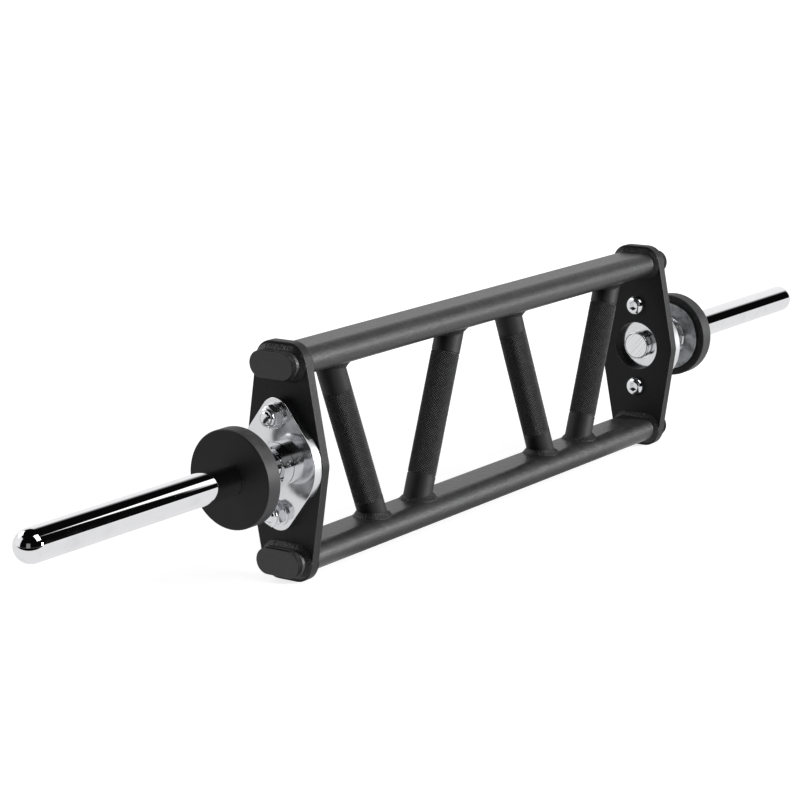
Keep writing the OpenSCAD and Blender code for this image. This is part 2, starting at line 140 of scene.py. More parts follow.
class Tree:
    """A short way to add nodes to a node tree and join them."""

    def __init__(self, tree: bpy.types.NodeTree) -> None:
        """Keeps the tree that the nodes go into."""
        self.tree = tree

    @classmethod
    def of(cls, owner: bpy.types.Material | bpy.types.World) -> "Tree":
        """Gives a material or a world an empty tree.

        Args:
            owner: The material or the world.

        Returns:
            The tree.
        """
        owner.use_nodes = True
        owner.node_tree.nodes.clear()
        return cls(owner.node_tree)

    def put(self, socket: Socket, value: object) -> None:
        """Links a socket to an output, or sets its plain value.

        Args:
            socket: The input to fill.
            value: Another node's output, or a value of the socket's own kind.
        """
        if isinstance(value, bpy.types.NodeSocket):
            self.tree.links.new(value, socket)
        else:
            socket.default_value = value

    def node(self, kind: str, inputs: dict | None = None, **settings: object) -> bpy.types.Node:
        """Adds a node.

        Args:
            kind: The node's type in Blender.
            inputs: What goes into its sockets, by socket name or number.
            settings: The node's own properties.

        Returns:
            The new node.
        """
        node = self.tree.nodes.new(kind)
        for name, value in settings.items():
            setattr(node, name, value)
        for key, value in (inputs or {}).items():
            self.put(node.inputs[key], value)
        return node

    def math(self, operation: str, *values: object, clamp: bool = False) -> Socket:
        """Adds a Math node.

        Args:
            operation: The node's operation.
            values: Its inputs, in order.
            clamp: Whether the result stays between 0 and 1.

        Returns:
            The node's result.
        """
        node = self.node("ShaderNodeMath", operation=operation, use_clamp=clamp)
        for socket, value in zip(node.inputs, values):
            self.put(socket, value)
        return node.outputs[0]

    def times(self, *values: object) -> Socket:
        """Multiplies the values."""
        return reduce(partial(self.math, "MULTIPLY"), values)

    def plus(self, *values: object) -> Socket:
        """Adds the values."""
        return reduce(partial(self.math, "ADD"), values)

    def minus(self, value: object, less: object) -> Socket:
        """Takes the second value from the first."""
        return self.math("SUBTRACT", value, less)

    def rest(self, share: object) -> Socket:
        """Returns what a share leaves of 1."""
        return self.minus(1.0, share)

    def between(self, value: object, low: object, high: object) -> Socket:
        """Rises smoothly from 0 at low to 1 at high.

        Args:
            value: What is measured.
            low: Where the result is 0.
            high: Where the result is 1.

        Returns:
            The share, from 0 to 1.
        """
        node = self.node("ShaderNodeMapRange", interpolation_type="SMOOTHSTEP")
        for name, part in (("Value", value), ("From Min", low), ("From Max", high)):
            self.put(node.inputs[name], part)
        return node.outputs["Result"]

    def blend(self, share: Socket, first: float, second: float) -> Socket:
        """Goes from the first number to the second as the share goes from 0 to 1."""
        return self.plus(self.times(share, second - first), first)

    def mix(self, factor: object, first: object, second: object) -> Socket:
        """Mixes two colours.

        Args:
            factor: The second colour's share.
            first: The first colour, from a node, in linear values or as #rrggbb.
            second: The second colour.

        Returns:
            The mixed colour.
        """
        node = self.node("ShaderNodeMix", {0: factor}, data_type="RGBA")
        for number, value in ((6, first), (7, second)):
            self.put(node.inputs[number], srgb(value) if isinstance(value, str) else value)
        return node.outputs[2]

    def noise(self, vector: object, scale: object, detail: float = 2.0) -> Socket:
        """Reads a noise at a point: scale features to a metre, and detail finer layers."""
        inputs = {"Vector": vector, "Scale": scale, "Detail": detail}
        return self.node("ShaderNodeTexNoise", inputs).outputs["Fac"]

    def place(self) -> Socket:
        """Returns the point that is shaded, in the object's own coordinates."""
        return self.node("ShaderNodeTexCoord").outputs["Object"]

    def split(self, vector: Socket) -> bpy.types.NodeOutputs:
        """Splits a vector into its parts, by the names X, Y and Z."""
        return self.node("ShaderNodeSeparateXYZ", {"Vector": vector}).outputs

    def facing(self) -> bpy.types.NodeOutputs:
        """Returns the parts of the normal where the surface is shaded."""
        return self.split(self.node("ShaderNodeNewGeometry").outputs["Normal"])

    def end_on(self) -> Socket:
        """Returns 1 on faces that look along the bar, falling to 0 on those that look across."""
        return self.between(self.math("ABSOLUTE", self.facing()["X"]), *END_ON)

    def diagonal(self, first: Socket, second: Socket) -> Socket:
        """Works out how long the diagonal of a rectangle with these two sides is."""
        squares = [self.times(side, side) for side in (first, second)]
        return self.math("SQRT", self.plus(*squares))

    def mirrored(self, path: bpy.types.Node) -> Socket:
        """Returns 1 for rays from a bright or clear surface, by a Light Path node, or else 0."""
        rays = (path.outputs[f"Is {kind} Ray"] for kind in ("Glossy", "Transmission"))
        return self.math("MAXIMUM", *rays)


def new_group(name: str, kind: str, inputs: dict, outputs: dict) -> bpy.types.NodeTree:
    """Makes an empty node group with named sockets.

    Args:
        name: The group's name.
        kind: ShaderNodeTree or GeometryNodeTree.
        inputs: Socket types by name.
        outputs: Socket types by name.

    Returns:
        The group.
    """
    tree = bpy.data.node_groups.new(name, kind)
    for way, sockets in (("INPUT", inputs), ("OUTPUT", outputs)):
        for label, socket_type in sockets.items():
            tree.interface.new_socket(name=label, in_out=way, socket_type=socket_type)
    return tree


FLOAT = "NodeSocketFloat"
INTEGER = "NodeSocketInt"
VECTOR = "NodeSocketVector"
MATERIAL = "NodeSocketMaterial"
GEOMETRY = "NodeSocketGeometry"


class Effects:
    """Shader node groups that several finishes share, each built once."""

    # Grain: how its peel and specks compare with its grains, and which cells hold a speck
    peel_scale = 0.22
    speck_scale = 0.8
    speck_cells = (0.80, 0.98)
    speck_reach = (0.42, 0.12)
    # Edge highlight and wear, painted: how far a normal turns at an edge, and the patches that
    # break it up
    edge_turn = (0.995, 0.90)
    patch_scale = 260.0
    patch_share = 0.6
    patch_fade = 0.18
    # Smudges: their clouds, and hairlines that are drawn out along the bar
    cloud_range = (0.45, 0.75)
    hairline_scale = 900.0
    hairline_stretch = (0.06, 1.0, 1.0)
    hairline_range = (0.60, 0.74)
    # Turned lines: waves in a turn, and how fast the rings and the streaks of painted reflection
    # change
    ring_waves = 3.0
    ring_change = 400.0
    streak_radius = 70.0
    streak_turn = 3.0
    # Dust: how much lies on upright faces beside what lies on level ones, and its patches
    dust_sideways = 0.2
    dust_range = (0.30, 0.80)

    @classmethod
    def get(cls, name: str) -> bpy.types.NodeTree:
        """Returns a group by its name, and builds it the first time."""
        return bpy.data.node_groups.get(name) or getattr(cls, f"build_{name}")()

    @staticmethod
    def begun(
        name: str, inputs: list[str], outputs: list[str]
    ) -> tuple[Tree, bpy.types.NodeOutputs]:
        """Starts a group whose sockets are all plain numbers.

        Args:
            name: The group's name.
            inputs: The names of its inputs.
            outputs: The names of its outputs.

        Returns:
            The group, ready for nodes, and what it is given.
        """
        t = Tree(new_group(
            name, "ShaderNodeTree", dict.fromkeys(inputs, FLOAT), dict.fromkeys(outputs, FLOAT)
        ))
        return t, t.node("NodeGroupInput").outputs

    @classmethod
    def build_grain(cls) -> bpy.types.NodeTree:
        """Builds the orange peel and fine specks of a baked powder coat or moulded skin.

        Returns:
            The group, with a height and a mask of bright specks.
        """
        t, given = cls.begun("grain", ["Size", "Peel"], ["Height", "Specks"])
        where = t.place()
        scale = t.math("DIVIDE", 1.0, given["Size"])
        fine = t.noise(where, scale, detail=3.0)
        broad = t.noise(where, t.times(scale, cls.peel_scale), detail=1.0)
        height = t.plus(fine, t.times(broad, given["Peel"]))
        cells = t.node(
            "ShaderNodeTexVoronoi",
            {"Vector": where, "Scale": t.times(scale, cls.speck_scale)},
            feature="F1",
        )
        lit = t.between(cells.outputs["Color"], *cls.speck_cells)
        near = t.between(cells.outputs["Distance"], *cls.speck_reach)
        specks = t.times(lit, near)
        t.node("NodeGroupOutput", {"Height": height, "Specks": specks})
        return t.tree

    @classmethod
    def build_edge_highlight_and_wear(cls) -> bpy.types.NodeTree:
        """Builds a mask on edges for a painted highlight and wear, broken up in patches.

        Returns:
            The group, with one mask.
        """
        t, given = cls.begun("edge_highlight_and_wear", ["Width", "Break Up"], ["Mask"])
        rounded = t.node("ShaderNodeBevel", {"Radius": given["Width"]}, samples=4)
        plain = t.node("ShaderNodeNewGeometry").outputs["Normal"]
        dot = t.node("ShaderNodeVectorMath", {0: rounded.outputs[0], 1: plain},
                     operation="DOT_PRODUCT")
        edge = t.between(dot.outputs["Value"], *cls.edge_turn)
        patches = t.noise(t.place(), cls.patch_scale, detail=3.0)
        low = t.times(given["Break Up"], cls.patch_share)
        broken = t.between(patches, low, t.plus(low, cls.patch_fade))
        t.node("NodeGroupOutput", {"Mask": t.times(edge, broken)})
        return t.tree

    @classmethod
    def build_smudges(cls) -> bpy.types.NodeTree:
        """Builds the faint handling marks and hairlines on bright metal.

        Returns:
            The group, with one mask.
        """
        t, given = cls.begun("smudges", ["Scale", "Hairlines"], ["Mask"])
        where = t.place()
        clouds = t.between(t.noise(where, given["Scale"], detail=4.0), *cls.cloud_range)
        drawn = t.node("ShaderNodeMapping", {"Vector": where, "Scale": cls.hairline_stretch})
        lines = t.between(t.noise(drawn.outputs[0], cls.hairline_scale), *cls.hairline_range)
        scored = t.times(lines, given["Hairlines"])
        t.node("NodeGroupOutput", {"Mask": t.math("ADD", clouds, scored, clamp=True)})
        return t.tree

    @classmethod
    def build_turned_lines(cls) -> bpy.types.NodeTree:
        """Builds the fine rings that a lathe leaves, about the sleeves' axis.

        Returns:
            The group, with a height for the rings and a mask of streaks for painted reflection,
            which vary with the radius.
        """
        t, given = cls.begun("turned_lines", ["Pitch", "Waver"], ["Height", "Streaks"])
        parts = t.split(t.place())
        up = t.minus(parts["Z"], AXIS_Z)
        radius = t.diagonal(up, parts["Y"])
        angle = t.math("ARCTAN2", up, parts["Y"])
        wave = t.math("SINE", t.times(angle, cls.ring_waves))
        ring = t.node("ShaderNodeCombineXYZ", {
            "X": t.math("DIVIDE", radius, given["Pitch"]),
            "Y": t.times(parts["X"], cls.ring_change),
            "Z": t.times(wave, given["Waver"]),
        })
        sector = t.node("ShaderNodeCombineXYZ", {
            "X": t.times(radius, cls.streak_radius),
            "Y": t.times(angle, cls.streak_turn),
        })
        rings = t.noise(ring.outputs[0], 1.0)
        # Painted reflection: streaks in sectors about the axis
        reflection_streaks = t.noise(sector.outputs[0], 1.0, detail=3.0)
        t.node("NodeGroupOutput", {"Height": rings, "Streaks": reflection_streaks})
        return t.tree

    @classmethod
    def build_dust(cls) -> bpy.types.NodeTree:
        """Builds a thin uneven film of dust, most of it on faces that look up.

        Returns:
            The group, with one mask.
        """
        t, given = cls.begun("dust", ["Scale", "Level"], ["Mask"])
        upward = t.blend(t.between(t.facing()["Z"], 0.0, 1.0), cls.dust_sideways, 1.0)
        patches = t.between(t.noise(t.place(), given["Scale"], detail=5.0), *cls.dust_range)
        film = t.times(upward, patches, given["Level"])
        t.node("NodeGroupOutput", {"Mask": film})
        return t.tree


@dataclass
class Look:
    """A material in the making: its tree and its shader."""

    t: Tree
    shader: bpy.types.Node

    def put(self, socket: str, value: object) -> None:
        """Fills the shader's socket of this name with a node's output or a plain value."""
        self.t.put(self.shader.inputs[socket], value)

    def effect(self, name: str, inputs: dict[str, float]) -> bpy.types.NodeOutputs:
        """Adds a shared effect with its values by name, and returns what it makes by name."""
        return self.t.node("ShaderNodeGroup", inputs, node_tree=Effects.get(name)).outputs

    def bump(self, height: Socket, depth: float) -> None:
        """Feeds a height into the shader's normal; a height of 1 is depth metres deep."""
        node = self.t.node("ShaderNodeBump", {"Height": height, "Distance": depth})
        self.put("Normal", node.outputs[0])


@dataclass(frozen=True)
class Finish:
    """A finish: its name, the record's slot that it belongs to, and its main values."""

    name: str
    slot: str
    colour: str
    roughness: float
    gloss: float = field(default=0.5, kw_only=True)

    def material(self) -> bpy.types.Material:
        """Builds the material the first time and returns it.

        Returns:
            The material, with its shader and its nodes.
        """
        found = bpy.data.materials.get(self.name)
        if found:
            return found
        made = bpy.data.materials.new(self.name)
        t = Tree.of(made)
        shader = t.node("ShaderNodeBsdfPrincipled")
        t.node("ShaderNodeOutputMaterial", {"Surface": shader.outputs[0]})
        look = Look(t, shader)
        look.put("Base Color", srgb(self.colour))
        look.put("Roughness", self.roughness)
        look.put("Specular IOR Level", self.gloss)
        self.shade(look)
        made.diffuse_color = srgb(self.colour)
        return made

    def shade(self, look: Look) -> None:
        """Adds the nodes that make this finish; the plain one adds none."""


@dataclass(frozen=True)
class PowderCoat(Finish):
    """A baked powder coat on steel: orange peel, fine specks, and edges painted paler as highlight
    and wear.
    """

    grain: float = 0.00060
    peel: float = 1.2
    depth: float = 0.00011
    speck_colour: str = "#8c8c8e"
    speck_share: float = 0.35
    speck_shine: float = 0.12
    edge_highlight_and_wear_colour: str = "#8c8c8c"
    edge_width: float = 0.0012
    edge_share: float = 0.5
    edge_breaks: float = 0.35
    dust: float = 0.06
    dust_scale: float = 60.0
    dust_dulls: float = 0.5
    coat: float = 0.0
    coat_roughness: float = 0.25

    def shade(self, look: Look) -> None:
        """Adds the grain, the specks, the edges painted paler as highlight and wear, the dust and
        the clear coat.

        Args:
            look: The material in the making.
        """
        t = look.t
        grain = look.effect("grain", {"Size": self.grain, "Peel": self.peel})
        lit_and_worn_edges = look.effect("edge_highlight_and_wear", {"Width": self.edge_width, "Break Up": self.edge_breaks})
        dust = look.effect("dust", {"Scale": self.dust_scale, "Level": self.dust})
        film = dust["Mask"]
        specks = t.times(grain["Specks"], self.speck_share)
        edges = t.times(lit_and_worn_edges["Mask"], self.edge_share)
        colour = t.mix(specks, self.colour, self.speck_colour)
        # Painted highlight and wear: the edges are mixed towards a paler colour
        colour = t.mix(edges, colour, self.edge_highlight_and_wear_colour)
        look.put("Base Color", t.mix(film, colour, DUST))
        rough = t.plus(self.roughness, t.times(film, self.dust_dulls))
        shine = t.times(specks, self.speck_shine)
        look.put("Roughness", t.minus(rough, shine))
        look.bump(grain["Height"], self.depth)
        look.put("Coat Weight", self.coat)
        look.put("Coat Roughness", self.coat_roughness)


@dataclass(frozen=True)
class KnurlCoat(Finish):
    """The grips' coat over the knurl: black, with the points painted paler as highlight, rubbed in
    patches.
    """

    point_highlight_colour: str = "#7e7e80"
    point_range: Range = (0.35, 0.85)
    rub_scale: float = 180.0
    rub_range: Range = (0.2, 0.8)
    rub_share: float = 0.5

    def shade(self, look: Look) -> None:
        """Adds the paler points, a painted highlight, which the knurl marks with its crest value.

        Args:
            look: The material in the making.
        """
        t = look.t
        crest = t.node("ShaderNodeAttribute", attribute_name="crest").outputs["Fac"]
        rubbed = t.between(t.noise(t.place(), self.rub_scale, detail=3.0), *self.rub_range)
        share = t.blend(rubbed, 1.0 - self.rub_share, 1.0)
        # Painted highlight: the raised points are paler, more so where the noise rubs them
        lit_and_rubbed_points = t.times(t.between(crest, *self.point_range), share)
        look.put("Base Color", t.mix(lit_and_rubbed_points, self.colour, self.point_highlight_colour))


@dataclass(frozen=True)
class MouldedPlastic(Finish):
    """Moulded plastic with a pebbled skin, dull round its sides, where the colour is painted darker
    as shade, and with a painted highlight on its edges.
    """

    grain: float = 0.0008
    peel: float = 0.8
    depth: float = 0.00018
    speck_colour: str = "#77777a"
    speck_share: float = 0.35
    painted_shade_side_colour: str = "#141415"
    side_roughness: float = 0.7
    face_coat: float = 0.9
    edge_highlight_and_wear_colour: str = "#9c9c9e"
    edge_width: float = 0.00035
    edge_share: float = 0.6
    dust: float = 0.2
    dust_scale: float = 220.0

    def shade(self, look: Look) -> None:
        """Adds the pebbled skin, the dull sides with painted shade, the painted highlight on the
        edges, and the dust.

        Args:
            look: The material in the making.
        """
        t = look.t
        grain = look.effect("grain", {"Size": self.grain, "Peel": self.peel})
        lit_and_worn_edges = look.effect("edge_highlight_and_wear", {"Width": self.edge_width, "Break Up": 0.0})
        dust = look.effect("dust", {"Scale": self.dust_scale, "Level": self.dust})
        face = t.end_on()
        specks = t.times(grain["Specks"], self.speck_share)
        edges = t.times(lit_and_worn_edges["Mask"], self.edge_share)
        colour = t.mix(specks, self.colour, self.speck_colour)
        # Painted shade: the sides are darker than the faces
        colour = t.mix(face, self.painted_shade_side_colour, colour)
        # Painted highlight: the rounded edges are paler
        colour = t.mix(edges, colour, self.edge_highlight_and_wear_colour)
        look.put("Base Color", t.mix(dust["Mask"], colour, DUST))
        look.put("Roughness", self.side_roughness)
        look.put("Coat Roughness", self.roughness)
        look.put("Coat Weight", t.times(face, self.face_coat))
        look.bump(grain["Height"], self.depth)


@dataclass(frozen=True)
class BrightMetal(Finish):
    """Polished or plated metal with faint smudges and hairlines."""

    smudge_rough: float = 0.10
    smudge_scale: float = 60.0
    hairlines: float = 0.4
    dull: float = 0.06

    def shade(self, look: Look) -> None:
        """Adds the smudges and hairlines.

        Args:
            look: The material in the making.
        """
        t = look.t
        look.put("Metallic", 1.0)
        marks = look.effect("smudges", {"Scale": self.smudge_scale, "Hairlines": self.hairlines})
        mask = marks["Mask"]
        rough = t.plus(self.roughness, t.times(mask, self.smudge_rough))
        look.put("Roughness", rough)
        base = srgb(self.colour)
        duller = tuple(v * (1 - self.dull) for v in base[:3]) + (1.0,)
        look.put("Base Color", t.mix(mask, base, duller))


@dataclass(frozen=True)
class FlangeChrome(BrightMetal):
    """Chrome over a casting: bright and a little wavy, but duller on the round of the rim."""

    rim_rough: float = 0.32
    rim_from_face: Range = (0.8, 0.4)
    rim_from_ears: Range = (0.78, 0.81)
    wave: float = 32.0
    wave_depth: float = 0.0006

    def shade(self, look: Look) -> None:
        """Adds the waves of the face and the duller rim.

        Args:
            look: The material in the making.
        """
        super().shade(look)
        t = look.t
        marked = look.shader.inputs["Roughness"].links[0].from_socket
        facing = t.facing()
        off_face = t.between(t.math("ABSOLUTE", facing["X"]), *self.rim_from_face)
        off_ears = t.between(t.math("ABSOLUTE", facing["Y"]), *self.rim_from_ears)
        dull = t.times(off_face, off_ears, self.rim_rough)
        look.put("Roughness", t.math("MAXIMUM", marked, dull))
        look.bump(t.noise(t.place(), self.wave, detail=1.0), self.wave_depth)


@dataclass(frozen=True)
class SawnMetal(Finish):
    """A bare sawn and ground end with fine straight lines across it, and a dark ring painted as
    shade near its rim.
    """

    lines: float = 2600.0
    lean: float = math.radians(48.0)
    stretch: float = 0.02
    depth: float = 0.00002
    broad_share: float = 0.30
    broad_range: Range = (0.50, 0.60)
    broad_colour: str = "#98999b"
    broad_mix: float = 0.18
    painted_shade_ring_colour: str = "#1c1c1d"
    painted_shade_ring_range: Range = (0.0129, 0.0135)

    def shade(self, look: Look) -> None:
        """Adds the lines and the painted shade ring.

        Args:
            look: The material in the making.
        """
        t = look.t
        look.put("Metallic", 1.0)
        where = t.place()
        lean, stretch = (self.lean, 0.0, 0.0), (1.0, self.stretch, 1.0)
        turned = t.node("ShaderNodeMapping", {"Vector": where, "Rotation": lean})
        drawn = t.node("ShaderNodeMapping", {"Vector": turned.outputs[0], "Scale": stretch})
        fine = t.noise(drawn.outputs[0], self.lines)
        broad = t.noise(drawn.outputs[0], self.lines * self.broad_share, detail=1.0)
        share = t.times(t.between(broad, *self.broad_range), self.broad_mix)
        parts = t.split(where)
        radius = t.diagonal(t.minus(parts["Z"], AXIS_Z), parts["Y"])
        colour = t.mix(share, self.colour, self.broad_colour)
        # Painted shade: a dark ring near the rim of the end
        colour = t.mix(t.between(radius, *self.painted_shade_ring_range), colour, self.painted_shade_ring_colour)
        look.put("Base Color", colour)
        look.bump(fine, self.depth)


@dataclass(frozen=True)
class TurnedMetal(Finish):
    """Bare metal with the fine rings that a lathe leaves, and streaks of painted reflection."""

    pitch: float = 0.00025
    waver: float = 0.6
    depth: float = 0.00002
    reflection_streak_colour: str = "#66686a"
    streak_range: Range = (0.35, 0.70)
    streak_share: float = 0.8
    streak_rough: float = 0.12

    def shade(self, look: Look) -> None:
        """Adds the rings, and streaks of painted reflection that make the colour lighter and
        darker.

        Args:
            look: The material in the making.
        """
        t = look.t
        look.put("Metallic", 1.0)
        lines = look.effect("turned_lines", {"Pitch": self.pitch, "Waver": self.waver})
        # Painted reflection: the streaks mix a darker colour in
        share = t.between(lines["Streaks"], *self.streak_range)
        reflection_streaks = t.times(share, self.streak_share)
        look.put("Base Color", t.mix(reflection_streaks, self.colour, self.reflection_streak_colour))
        rough = t.plus(self.roughness, t.times(share, self.streak_rough))
        look.put("Roughness", rough)
        look.bump(lines["Height"], self.depth)


@dataclass(frozen=True)
class StopRubber(Finish):
    """Moulded rubber: a fine grain, flat faces painted darker as shade, and rounded edges painted
    paler as highlight and wear.
    """

    grain: float = 0.0006
    peel: float = 1.0
    depth: float = 0.00006
    painted_shade_face_colour: str = "#131314"
    edge_highlight_and_wear_colour: str = "#7c7b7a"
    edge_width: float = 0.0030
    edge_share: float = 0.1
    edge_breaks: float = 0.1
    dust_colour: str = "#66645f"
    dust: float = 0.30
    dust_scale: float = 90.0
    dust_dulls: float = 0.4

    def shade(self, look: Look) -> None:
        """Adds the grain, the dust, the painted shade on the faces, and the edges painted paler as
        highlight and wear.

        Args:
            look: The material in the making.
        """
        t = look.t
        grain = look.effect("grain", {"Size": self.grain, "Peel": self.peel})
        dust = look.effect("dust", {"Scale": self.dust_scale, "Level": self.dust})
        lit_and_worn_edges = look.effect("edge_highlight_and_wear", {"Width": self.edge_width, "Break Up": self.edge_breaks})
        film = dust["Mask"]
        edges = t.times(lit_and_worn_edges["Mask"], self.edge_share)
        colour = t.mix(film, self.colour, self.dust_colour)
        # Painted shade: the flat faces are darker than the round
        colour = t.mix(t.end_on(), colour, self.painted_shade_face_colour)
        # Painted highlight and wear: the rounded edges are paler
        look.put("Base Color", t.mix(edges, colour, self.edge_highlight_and_wear_colour))
        rough = t.plus(self.roughness, t.times(film, self.dust_dulls))
        look.put("Roughness", rough)
        look.bump(grain["Height"], self.depth)


@dataclass(frozen=True)
class Nylon(Finish):
    """The dark nylon ring of a lock nut."""

    glow: float = 0.15
    glow_depth: float = 0.001
    cloud_colour: str = "#222326"
    cloud_scale: float = 400.0
    cloud_range: Range = (0.35, 0.75)

    def shade(self, look: Look) -> None:
        """Adds a waxy unevenness.

        Args:
            look: The material in the making.
        """
        t = look.t
        look.put("Subsurface Weight", self.glow)
        look.put("Subsurface Scale", self.glow_depth)
        cloud = t.between(t.noise(t.place(), self.cloud_scale, detail=3.0), *self.cloud_range)
        look.put("Base Color", t.mix(cloud, self.colour, self.cloud_colour))


class Finishes:
    """Every finish on the bar."""

    plate = PowderCoat("plate_powder_coat", "powder_black", "#222223", 0.42, gloss=0.22)
    plate_edge = PowderCoat(
        "cut_edge_coat", "powder_black", "#222223", 0.46,
        grain=0.0008, depth=0.00018, speck_share=0.55, gloss=0.22,
    )
    rail = PowderCoat(
        "rail_powder_coat", "rail_charcoal", "#131315", 0.50,
        grain=0.0015, depth=0.00040, coat=0.32, gloss=0.55,
    )
    grip = PowderCoat(
        "grip_coat", "grip_black", "#212122", 0.55,
        grain=0.0005, edge_share=0.0, dust=0.03, gloss=0.3,
    )
    knurl = KnurlCoat("knurl_coat", "grip_black", "#1f1f20", 0.50, gloss=0.3)
    weld = PowderCoat(
        "weld_coat", "powder_black", "#1a1a1b", 0.44,
        grain=0.0008, depth=0.0002, edge_share=0.1, gloss=0.32,
    )
    cap = MouldedPlastic("cap_plastic", "cap_grey", "#3e3e40", 0.38, gloss=0.1)
    chrome = BrightMetal(
        "sleeve_chrome", "polished_chrome", "#eaeaec", 0.02, smudge_rough=0.02
    )
    flange = FlangeChrome(
        "flange_chrome", "polished_chrome", "#dcdddf", 0.13, smudge_rough=0.05
    )
    zinc = BrightMetal(
        "plated_steel", "zinc_steel", "#e2e3e6", 0.20,
        smudge_rough=0.06, smudge_scale=180.0, hairlines=0.2,
    )
    bolt = BrightMetal(
        "plated_bolt", "zinc_steel", "#e2e3e6", 0.07,
        smudge_rough=0.04, smudge_scale=180.0, hairlines=0.2,
    )
    bearing = BrightMetal(
        "ground_steel", "bearing_steel", "#b4b6b8", 0.12,
        smudge_rough=0.12, smudge_scale=160.0, hairlines=0.6,
    )
    sawn = SawnMetal("sawn_end", "bearing_steel", "#e8e9eb", 0.20)
    satin = TurnedMetal("turned_steel", "satin_steel", "#b6b8ba", 0.28)
    rubber = StopRubber("moulded_rubber", "stop_rubber", "#333335", 0.48, gloss=0.3)
    nylon = Nylon("nylon_ring", "nylon", "#2c2d30", 0.45)


@dataclass
class Corner:
    """One corner of a half section: its place along X, its radius and its rounding."""

    x: float
    r: float
    fillet: float = 0.0
    finish: int = 0


@dataclass
class Spine:
    """What a half section is swept round: points and the directions that lead out from them."""

    points: list[tuple[float, float]]
    ways: list[tuple[float, float]]

    @classmethod
    def circle(cls, steps: int) -> "Spine":
        """Makes the spine of a turned piece, with this many steps round it."""
        turns = [math.tau * i / steps for i in range(steps)]
        return cls([(0.0, 0.0)] * steps, [(math.cos(a), math.sin(a)) for a in turns])

    @classmethod
    def flat_oval(cls, steps: int, across: int = 1) -> "Spine":
        """Makes the spine of a rail: two half circles and the straight runs between them.

        Args:
            steps: How many steps a half circle has.
            across: How many steps a straight run has.

        Returns:
            The spine, from the front over the top.
        """
        half = (RAIL_W - RAIL_H) / 2
        points, ways = [], []
        for end in (1, -1):
            for i in range(steps + 1):
                turn = math.pi * i / steps - math.pi / 2
                points.append((end * half, 0.0))
                ways.append((end * math.cos(turn), end * math.sin(turn)))
            for i in range(1, across):
                points.append((end * half * (1 - 2 * i / across), 0.0))
                ways.append((0.0, float(end)))
        return cls(points, ways)


